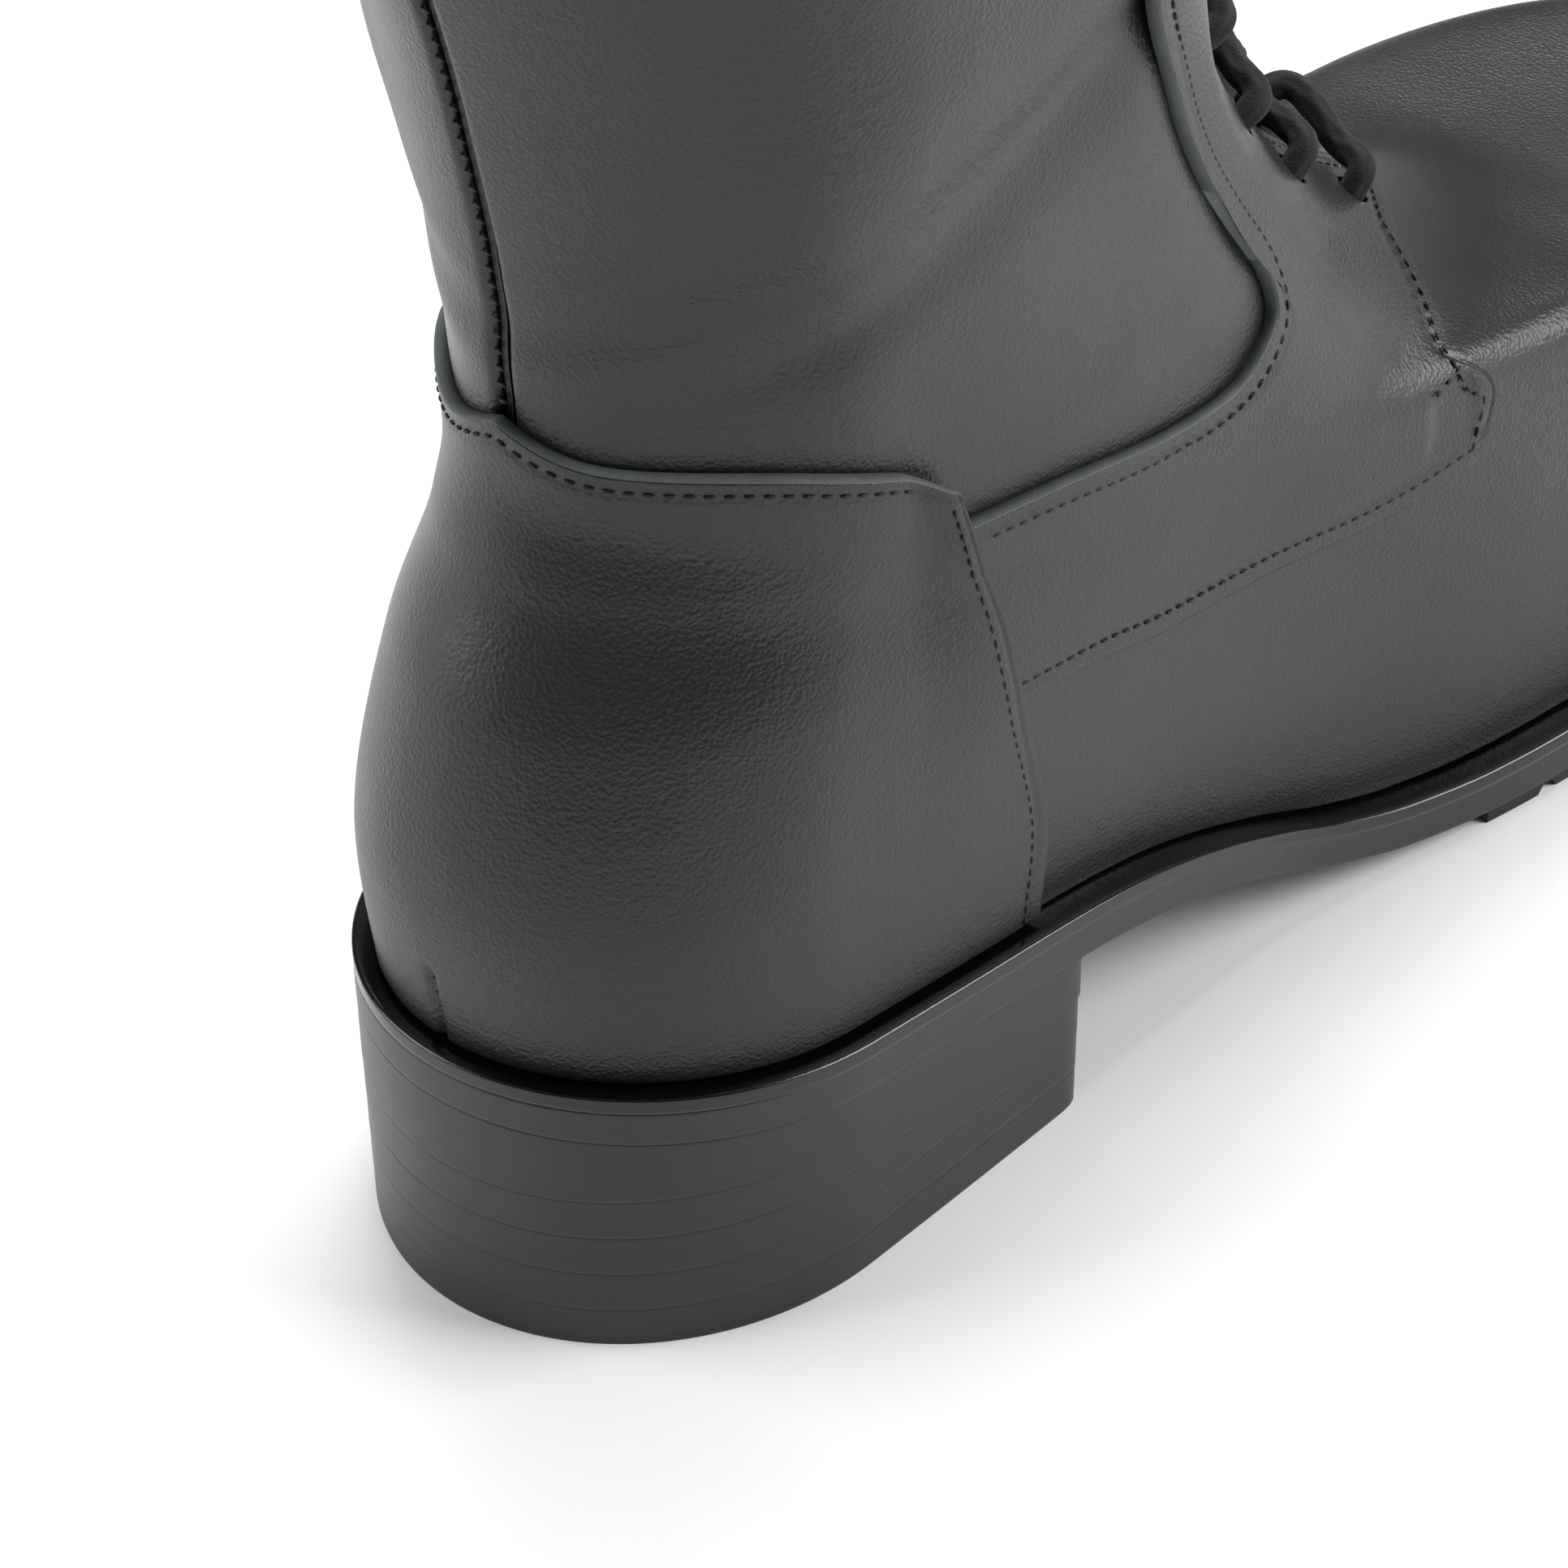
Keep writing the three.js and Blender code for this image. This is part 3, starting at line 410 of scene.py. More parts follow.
# ---------------------------------------------------------------- outlines of the panels
def smooth_edge(points: Sequence[Sequence[float]], corner: int = 0) -> Edge:
    """Edge of a panel through ring coordinates.

    Args:
        points: around and ring values.
        corner: index of a sharp corner, met at the middle of the edge.

    Returns:
        The edge as a law of 0 to 1.
    """
    stretch = np.array([8.0, 1.0])
    rows = np.array(points, float) * stretch
    if not corner:
        line = Spline(rows)
        return lambda s: line(s) / stretch
    first, second = Spline(rows[: corner + 1]), Spline(rows[corner:])

    def both(s: Array) -> Array:
        """The two halves either side of the corner."""
        s = np.asarray(s, float)[..., None]
        return np.where(s < 0.5, first(2 * s[..., 0]), second(2 * s[..., 0] - 1)) / stretch

    return both


def patch(bottom: Edge, top: Edge, start: Edge, end: Edge) -> Callable[[Array, Array], Array]:
    """Surface of ring coordinates between four edges."""

    def inside(s: Array, r: Array) -> Array:
        """Ring coordinates at shares s along and r up the panel.

        Args:
            s: share along the panel.
            r: share up the panel.

        Returns:
            Around value and ring for each.
        """
        low, high, first, last = bottom(s), top(s), start(r), end(r)
        s, r = s[..., None], r[..., None]
        zero, one = np.zeros(1), np.ones(1)
        corners = (1 - s) * (1 - r) * bottom(zero) + s * (1 - r) * bottom(one) + (1
            - s) * r * top(zero) + s * r * top(one)
        return (1 - r) * low + r * high + (1 - s) * first + s * last - corners

    return inside


class Patterns:
    """Cutting patterns of the upper: where each panel's edges run on the form."""

    def __init__(self, form: BootForm) -> None:
        """Draws every pattern once.

        Args:
            form: the boot's form, which the patterns are drawn on.
        """
        self.form = form
        at = form.locate
        foot = 0.03
        self.foot_z = float(form.ring_height(foot, form.counter_front(30)))

        def beside(shift: float, low: float, high: float) -> Edge:
            """Edge along the counter's front edge, moved by shift."""
            rows = np.array([at(float(form.counter_front(z)) + shift, z)
                for z in np.linspace(low, high, 25)])
            return lambda r: np.stack([np.interp(r, np.linspace(0, 1, 25), rows[:, k]) for k in (0, 1)], -1)

        front = beside(0, self.foot_z, form.counter_corner)
        back = [0.0, at(19, 124.5)[1]]
        top = smooth_edge([back, at(22, 120.8), at(39, 118.6), at(50, 114.8), front(np.ones(1))[0]])
        low = smooth_edge([[0, foot], front(np.zeros(1))[0]])
        self.counter = patch(low, top, smooth_edge([[0, foot], back]), front)
        self.counter_front, self.counter_top = front, top

        end = beside(-6, 74, 103)
        rear = smooth_edge([end(np.ones(1))[0], *(at(*p) for p in (
            (77.6, 101.2), (95.7, 98.1), (108.9, 97.4), (116.5, 100), (120.2, 104.4), (116.6, 112.4), (102,
                130.8),
            (91, 147), (81, 166.5), (77, 205), (77, 249)))])
        seam = [end(np.zeros(1))[0], at(84, 71), at(97.7, 68.2), at(129.8, 64.3), at(159, 65)]
        throat = [[float(form.beside_front(v, form.throat(v))), v] for v in (3.97, 5, 6, 7, 8)]
        inner = smooth_edge([*seam, at(158, 79.7), at(163.1, 88.4), *throat], len(seam) - 1)
        self.facing = patch(inner, rear, end, smooth_edge([inner(np.ones(1))[0], rear(np.ones(1))[0]]))
        self.facing_rear, self.facing_front = rear, inner

        slit = 0.0028
        rise = [[float(form.beside_front(v, form.throat(v) + 13.8)), v] for v in (4.7, 5.4, 6.2, 7, 8)]
        low_back = [slit, at(19, 112.5)[1]]
        hem = smooth_edge([low_back, *(at(*p) for p in ((30, 108.5), (40, 107), (52, 103), (64, 95),
            (90, 87.5), (112, 89))), rise[0]])
        self.quarter = patch(hem, smooth_edge([[slit, 8], rise[4]]), smooth_edge([low_back, [slit, 8]]),
            smooth_edge(rise))

        start = beside(-10, self.foot_z, 78)
        crest = 3.8
        top = smooth_edge([start(np.ones(1))[0], at(97, 76), at(128, 72), at(149, 73), at(152, 84),
                           [float(form.beside_front(crest, 14)), crest], [1, crest]])
        self.vamp = patch(smooth_edge([start(np.zeros(1))[0], [1, foot]]), top, start,
            smooth_edge([[1, foot], [1, crest]]))

        rim = RINGS - 0.05
        edge = smooth_edge([[float(form.beside_front(v, form.throat(v) + 0.8)), v]
            for v in (3.98, 5, 6, 7, rim)])
        zero = edge(np.zeros(1))[0]
        foot_at = lambda x: [at(x, float(form.ring_height(foot, x)))[0], foot]
        self.lining = patch(smooth_edge([[0, foot], foot_at(118), at(146, 66), zero], 1),
                            smooth_edge([[0, rim], edge(np.ones(1))[0]]), smooth_edge([[0, foot],
                                [0, rim]]), edge)


def on_side(area: Callable[[Array, Array], Array], side: Side) -> Area:
    """A pattern laid on one side of the boot."""

    def laid(s: Array, r: Array) -> tuple[Array, Array]:
        """Signed around value and ring."""
        place = area(s, r)
        return side.value * place[..., 0], place[..., 1]

    return laid


def over_back(area: Callable[[Array, Array], Array]) -> Area:
    """A pattern laid over the back centre line."""

    def laid(s: Array, r: Array) -> tuple[Array, Array]:
        """Signed around value and ring."""
        place = area(np.abs(2 * s - 1), r)
        return np.where(s < 0.5, -1, 1) * place[..., 0], place[..., 1]

    return laid


def over_front(area: Callable[[Array, Array], Array]) -> Area:
    """A pattern laid over the front centre line."""

    def laid(s: Array, r: Array) -> tuple[Array, Array]:
        """Signed around value and ring."""
        place = area(1 - np.abs(2 * s - 1), r)
        return np.where(s < 0.5, -1, 1) * place[..., 0], place[..., 1]

    return laid


# ---------------------------------------------------------------- finishes
def from_hex(code: str) -> tuple[float, float, float, float]:
    """Linear colour of an sRGB hex value.

    Args:
        code: colour such as "#1a2b3c".

    Returns:
        Linear red, green, blue and full opacity.
    """
    parts = [int(code[i : i + 2], 16) / 255 for i in (1, 3, 5)]
    line = [p / 12.92 if p <= 0.04045 else ((p + 0.055) / 1.055) ** 2.4 for p in parts]
    return (*line, 1.0)


def add_node(tree: bpy.types.NodeTree, kind: str, settings: dict | None = None,
        links: dict | None = None) -> bpy.types.Node:
    """One node with its settings and links.

    Args:
        tree: the material's tree.
        kind: Blender's name of the node type.
        settings: attributes, or input values where the name is an input's.
        links: output sockets for the named inputs.

    Returns:
        The node.
    """
    node = tree.nodes.new(kind)
    for name, value in (settings or {}).items():
        if hasattr(node, str(name)) and name not in node.inputs.keys():
            setattr(node, name, value)
        else:
            node.inputs[name].default_value = value
    for name, socket in (links or {}).items():
        tree.links.new(socket, node.inputs[name])
    return node


@dataclass(frozen=True)
class Finish:
    """One material: what the real one is, and how its surface was made."""

    name: str
    colour: str
    second: str
    roughness: float
    grain: float = 0.6  # size of the pattern in millimetres
    depth: float = 0.1  # height of the pattern in millimetres
    stretch: tuple[float, float, float] = (1.0, 1.0, 1.0)
    spread: float = 0.06  # how far the roughness varies
    metallic: float = 0.0
    coat: float = 0.0
    sheen: float = 0.0
    blotch: float = 25.0  # size of the colour variation in millimetres
    cells: bool = False  # pebbled cells, not fibres
    creases: float = 0.0  # height of fine creases in millimetres
    lines: float = 0.0  # pitch of layer lines in millimetres

    def make(self) -> bpy.types.Material:
        """Builds the node material."""
        material = bpy.data.materials.new(self.name)
        material.use_nodes = True
        tree = material.node_tree
        shader = tree.nodes["Principled BSDF"]
        shader.inputs["Metallic"].default_value = self.metallic
        shader.inputs["Coat Weight"].default_value = self.coat
        shader.inputs["Coat Roughness"].default_value = 0.18
        shader.inputs["Sheen Weight"].default_value = self.sheen
        place = add_node(tree, "ShaderNodeTexCoord").outputs["Object"]
        turned = add_node(tree, "ShaderNodeMapping", {"Scale": self.stretch},
            {"Vector": place}).outputs["Vector"]
        blotch = add_node(tree, "ShaderNodeTexNoise", {"Scale": 1 / (self.blotch * MM), "Detail": 4.0},
            {"Vector": place})
        colour = add_node(tree, "ShaderNodeMix", {"data_type": "RGBA"}, {"Factor": blotch.outputs["Fac"]})
        colour.inputs[6].default_value = from_hex(self.colour)
        colour.inputs[7].default_value = from_hex(self.second)
        colour_out = colour.outputs[2]
        if self.cells:
            pattern = add_node(tree, "ShaderNodeTexVoronoi",
                {"Scale": 1 / (self.grain * MM), "feature": "SMOOTH_F1"}, {"Vector": turned})
            height = pattern.outputs["Distance"]
        else:
            pattern = add_node(tree, "ShaderNodeTexNoise", {"Scale": 1 / (self.grain * MM), "Detail": 3.0},
                {"Vector": turned})
            height = pattern.outputs["Fac"]
        bump = add_node(tree, "ShaderNodeBump", {"Strength": 1.0, "Distance": self.depth * MM},
            {"Height": height})
        if self.creases:
            lying = add_node(tree, "ShaderNodeMapping", {"Scale": (120.0, 120.0, 620.0)}, {"Vector": place})
            fine = add_node(tree, "ShaderNodeTexNoise", {"Scale": 1.0, "Detail": 5.0, "Distortion": 0.7},
                {"Vector": lying.outputs["Vector"]})
            where = add_node(tree, "ShaderNodeTexNoise", {"Scale": 18.0, "Detail": 1.0}, {"Vector": place})
            only = add_node(tree, "ShaderNodeMapRange", {"From Min": 0.45, "From Max": 0.68},
                {"Value": where.outputs["Fac"]})
            both = add_node(tree, "ShaderNodeMath", {"operation": "MULTIPLY"})
            tree.links.new(fine.outputs["Fac"], both.inputs[0])
            tree.links.new(only.outputs["Result"], both.inputs[1])
            bump = add_node(tree, "ShaderNodeBump", {"Strength": 1.0, "Distance": self.creases * MM},
                            {"Height": both.outputs[0], "Normal": bump.outputs["Normal"]})
        if self.lines:
            tilt = add_node(tree, "ShaderNodeMapping",
                {"Rotation": (0.03, -0.07, 0.0), "Scale": (6.0, 6.0, 1 / (self.lines * MM))},
                {"Vector": place})
            layers = add_node(tree, "ShaderNodeTexNoise", {"Scale": 1.0, "Detail": 6.0, "Roughness": 0.65},
                {"Vector": tilt.outputs["Vector"]})
            dark = add_node(tree, "ShaderNodeMapRange",
                {"From Min": 0.35, "From Max": 0.7, "To Min": 0.8, "To Max": 1.2},
                {"Value": layers.outputs["Fac"]})
            tinted = add_node(tree, "ShaderNodeVectorMath", {"operation": "SCALE"},
                {"Scale": dark.outputs["Result"]})
            tree.links.new(colour_out, tinted.inputs[0])
            colour_out = tinted.outputs["Vector"]
            bump = add_node(tree, "ShaderNodeBump", {"Strength": 1.0, "Distance": 0.05 * MM},
                            {"Height": layers.outputs["Fac"], "Normal": bump.outputs["Normal"]})
        low, high = self.roughness - self.spread, self.roughness + self.spread
        rough = add_node(tree, "ShaderNodeMapRange",
            {"From Min": 0.3, "From Max": 0.7, "To Min": low, "To Max": high},
            {"Value": blotch.outputs["Fac"]})
        tree.links.new(colour_out, shader.inputs["Base Color"])
        tree.links.new(rough.outputs["Result"], shader.inputs["Roughness"])
        tree.links.new(bump.outputs["Normal"], shader.inputs["Normal"])
        return material


class Finishes:
    """Every finish of the boot, made once."""

    # full-grain calf, aniline dyed black and waxed: satin, fine pores, small creases
    upper = Finish("calf_full_grain_black", "#111112", "#18181a", 0.42, 0.5, 0.1, cells=True, creases=0.09,
        blotch=40.0)
    # the same hide cut through and inked: matt blue-grey fibres
    cut_edge = Finish("calf_cut_edge_inked", "#4a4f51", "#656b6d", 0.8, 0.25, 0.08, blotch=3.0)
    # bonded polyester sewing thread: round and slightly shiny
    thread = Finish("bonded_thread_black", "#070708", "#0d0d0e", 0.7, 0.2, 0.04, blotch=2.0)
    # welt inked and waxed: nearly a gloss black
    welt = Finish("welt_leather_waxed", "#050505", "#08080a", 0.2, 0.5, 0.02, blotch=12.0, spread=0.04)
    # bend leather lifts, sanded, inked dark and burnished: thin slanting layers
    stack = Finish("bend_leather_burnished", "#191716", "#231e1b", 0.37, 0.35, 0.04, blotch=30.0, lines=0.9,
        spread=0.06)
    # nitrile rubber top piece, sanded flush with the lifts and inked with them: the same satin
    dressed = Finish("nitrile_rubber_edge_inked", "#191716", "#221d1b", 0.38, 0.35, 0.03, blotch=30.0,
        lines=1.4)
    # nitrile rubber, moulded: an even matt black
    rubber = Finish("nitrile_rubber_moulded", "#101011", "#17171a", 0.62, 0.4, 0.03, blotch=20.0)
    # vegetable-tanned calf lining, unfinished
    lining = Finish("calf_lining_natural", "#7a5a3e", "#8d6c4c", 0.7, 0.5, 0.05, cells=True, blotch=30.0)
    # polyester braid, sixteen strands
    lace = Finish("polyester_braid_black", "#050506", "#0b0b0c", 0.9, 0.3, 0.16, blotch=2.5, sheen=0.04)
    # cellulose acetate sleeve, shrunk on
    tip = Finish("acetate_tip_black", "#0c0c0d", "#111113", 0.22, 0.8, 0.01, blotch=8.0, spread=0.04)
    # pressed cellulose board
    board = Finish("cellulose_board_pressed", "#8a765a", "#9c8768", 0.85, 0.5, 0.05, blotch=6.0)
    # woven cotton stay tape
    tape = Finish("cotton_tape_woven", "#1c1c1c", "#262626", 0.85, 0.5, 0.05, stretch=(1, 1, 2.5),
        blotch=4.0)
    # granulated cork
    cork = Finish("cork_granulated", "#8a6440", "#b08a5c", 0.85, 1.5, 0.1, cells=True, blotch=2.0)
    # tempered spring steel strip, rolled
    steel = Finish("spring_steel_rolled", "#8f9194", "#a3a5a8", 0.35, 0.3, 0.01, stretch=(0.1, 1, 1),
        metallic=1.0)
    # brass ring, blackened
    brass = Finish("brass_blackened", "#2a2724", "#36322d", 0.4, 0.4, 0.01, metallic=1.0, blotch=5.0)

    def __init__(self) -> None:
        """Makes the materials."""
        self.made = {name: finish.make() for name, finish in vars(type(self)).items()
            if isinstance(finish, Finish)}

    def __getitem__(self, name: str) -> bpy.types.Material:
        """The material of one finish."""
        return self.made[name]


# ---------------------------------------------------------------- making pieces
@dataclass
class Workshop:
    """What every sub-assembly needs: the form, the patterns and the finishes."""

    form: BootForm
    patterns: Patterns
    finishes: Finishes

    def piece(self, shape: bmesh.types.BMesh, name: str, finishes: Sequence[str], slot: str,
            nodes: Sequence[str] = (), body: str = "boot") -> bpy.types.Object:
        """Turns a finished bmesh into a piece of the boot.

        Args:
            shape: the shape in frame metres; it is freed.
            name: the piece's name.
            finishes: finish names by material index.
            slot: the record's material slot; not used.
            nodes: CAD nodes that the piece stands for.
            body: the CAD body that it rides on.

        Returns:
            The object.
        """
        mesh = bpy.data.meshes.new(name)
        shape.to_mesh(mesh)
        shape.free()
        mesh.polygons.foreach_set("use_smooth", [True] * len(mesh.polygons))
        for finish in finishes:
            mesh.materials.append(self.finishes[finish])
        thing = bpy.data.objects.new(name, mesh)
        bpy.context.scene.collection.objects.link(thing)
        if nodes:
            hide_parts(*nodes)
        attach(thing, body)
        log.info("%s: %d faces", name, len(mesh.polygons))
        return thing


def positions(shape: bmesh.types.BMesh) -> Array:
    """Vertex positions of a bmesh."""
    return np.array([v.co[:] for v in shape.verts], float)


def put(shape: bmesh.types.BMesh, points: Array) -> None:
    """Moves the vertices of a bmesh."""
    for vertex, point in zip(shape.verts, points.tolist()):
        vertex.co = point


def flat_sheet(size: tuple[float, float], cells: tuple[int, int], crowd: float = 0.0) -> bmesh.types.BMesh:
    """A flat cut sheet from 0 to size, with cells crowded towards its edges.

    Args:
        size: length and width.
        cells: cells along each.
        crowd: how strongly they gather at the edges, 0 to 1.

    Returns:
        The sheet, from 0 to size.
    """
    shape = bmesh.new()
    bmesh.ops.create_grid(shape, x_segments=cells[0], y_segments=cells[1], size=0.5)
    spots = positions(shape)
    span = spots[:, :2].max(0) - spots[:, :2].min(0)
    share = spots[:, :2] / span + 0.5
    share -= crowd * np.sin(2 * math.pi * share) / (2 * math.pi)
    put(shape, np.column_stack([share * np.array(size), np.zeros(len(share))]))
    return shape


@dataclass
class Spot:
    """Where the points of a panel lie while it is given its relief."""

    s: Array
    r: Array
    u: Array
    v: Array
    where: Array  # form millimetres

    @property
    def x(self) -> Array:
        """Distance from the back of the sole."""
        return self.where[:, 0]

    @property
    def z(self) -> Array:
        """Height above the ground."""
        return self.where[:, 2]


Relief = Callable[[Spot], tuple[Array, Array]]


@dataclass
class Panel:
    """One cut panel of leather, laid on the form."""

    area: Area
    size: tuple[float, float]
    cells: tuple[int, int]
    level: tuple[float, float]
    relief: Relief | None = None
    rounding: float = 0.32
    crowd: float = 0.55

    def shape(self, form: BootForm) -> bmesh.types.BMesh:
        """Cuts the sheet, gives it its thickness, rounds its rim and lays it on the form.

        Args:
            form: the boot's form.

        Returns:
            The panel in frame metres, with its cut edges as material 1.
        """
        thick = self.level[1] - self.level[0]
        sheet = flat_sheet(self.size, self.cells, self.crowd)
        grown = bmesh.ops.extrude_face_region(sheet, geom=sheet.faces[:])
        bmesh.ops.translate(sheet, vec=(0, 0, thick),
            verts=[g for g in grown["geom"] if isinstance(g, bmesh.types.BMVert)])
        rim = []
        for edge in sheet.edges:
            a, b = edge.verts[0].co, edge.verts[1].co
            if min(a.z, b.z) > thick / 2 and any(
                abs(a[k] - end) < 1e-5 and abs(b[k] - end) < 1e-5 for k in (0, 1) for end in (0.0,
                    self.size[k])
            ):
                rim.append(edge)
        bmesh.ops.bevel(sheet, geom=rim, offset=self.rounding, offset_type="OFFSET", segments=2,
            profile=0.5, affect="EDGES", material=-1)
        sheet.normal_update()
        for face in sheet.faces:
            face.material_index = int(abs(face.normal.z) < 0.7)
        flat = positions(sheet)
        s, r = np.clip(flat[:, 0] / self.size[0], 0, 1), np.clip(flat[:, 1] / self.size[1], 0, 1)
        share = flat[:, 2] / thick
        u, v = self.area(s, r)
        v = np.clip(v, 0, RINGS)
        height = self.level[0] + thick * share
        if self.relief:
            bend, press = self.relief(Spot(s, r, u, v, form.shell(np.clip(u, -1, 1), v)))
            height = height + bend + press * share
        put(sheet, form.metres(form.skin(u, v, height)))
        bmesh.ops.recalc_face_normals(sheet, faces=sheet.faces[:])
        return sheet


@dataclass
class Stitching:
    """Rows of lockstitch: one short thread arch a stitch."""

    pitch: float = 2.2
    length: float = 1.55
    thickness: float = 0.5

    def sew(self, shape: bmesh.types.BMesh, form: BootForm, line: Array, across: bool = False) -> int:
        """Adds the stitches of one row.

        Args:
            shape: the bmesh that takes them.
            form: the boot's form.
            line: signed around, ring and height at points of the row.
            across: stitches lie across the row, as in a seam sewn open.

        Returns:
            The number of stitches.
        """
        path = form.skin(line[:, 0], line[:, 1], line[:, 2])
        run = distances(path)
        count = int(run[-1] / self.pitch)
        for i in range(count):
            here = (i + 0.5) * run[-1] / count
            centre, ahead = (np.array([np.interp(here + d, run, path[:, k]) for k in range(3)])
                for d in (0, 0.5))
            u, v = (np.interp(here, run, line[:, k]) for k in (0, 1))
            out = Vector(form.normal(np.clip(u, -0.997, 0.997), v))
            along = Vector(ahead - centre).normalized()
            side = out.cross(along).normalized()
            along = side.cross(out)
            if across:
                along, side = side, -along
            turn = Matrix((along, side, out)).transposed().to_4x4()
            size = Matrix.Diagonal((self.length / 2 * MM, self.thickness / 2 * MM, self.thickness / 2 * MM,
                1))
            bmesh.ops.create_uvsphere(shape, u_segments=6, v_segments=5, radius=1,
                matrix=Matrix.Translation(form.metres(centre)) @ turn @ size)
        return count


def edge_line(edge: Edge, side: Side, start: float, end: float, inset: tuple[float, float],
        height: float) -> Array:
    """Row that follows a pattern's edge, moved by an inset of ring coordinates.

    Args:
        edge: the pattern's edge.
        side: side of the boot.
        start: share of the edge where the row starts.
        end: share where it ends.
        inset: shift in around and ring values.
        height: height above the form.

    Returns:
        Signed around, ring and height at each point.
    """
    share = np.linspace(start, end, 160)
    place = edge(share) + np.array(inset)
    return np.column_stack([side.value * place[:, 0], place[:, 1], np.full(160, height)])


def row_between(side: Side, start: Sequence[float], end: Sequence[float], height: float,
        count: int) -> Array:
    """Straight row between two places on the form.

    Args:
        side: side of the boot.
        start: around value and ring where it starts.
        end: around value and ring where it ends.
        height: height above the form.
        count: number of points.

    Returns:
        Signed around, ring and height at each point.
    """
    place = mix(np.asarray(start, float), np.asarray(end, float), np.linspace(0, 1, count)[:, None])
    return np.column_stack([side.value * place[:, 0], place[:, 1], np.full(count, height)])


def loft(rings: Sequence[Array]) -> bmesh.types.BMesh:
    """Closed body through rings of points; a ring that lies on a line or a point closes an end.

    Args:
        rings: rings of equal numbers of points, in frame metres.

    Returns:
        The closed shape.
    """
    shape = bmesh.new()
    count = len(rings[0])
    made = bmesh.ops.create_circle(shape, segments=count, radius=1)
    row = made["verts"]
    for vertex, point in zip(row, rings[0].tolist()):
        vertex.co = point
    for ring in rings[1:]:
        follow = [shape.edges.get((row[i], row[(i + 1) % count])) for i in range(count)]
        grown = bmesh.ops.extrude_edge_only(shape, edges=follow)
        new = {v for v in grown["geom"] if isinstance(v, bmesh.types.BMVert)}
        row = [next(e.other_vert(v) for e in v.link_edges if e.other_vert(v) in new) for v in row]
        for vertex, point in zip(row, ring.tolist()):
            vertex.co = point
    bmesh.ops.remove_doubles(shape, verts=shape.verts[:], dist=2e-6)
    bmesh.ops.dissolve_degenerate(shape, dist=1e-7, edges=shape.edges[:])
    bmesh.ops.recalc_face_normals(shape, faces=shape.faces[:])
    return shape


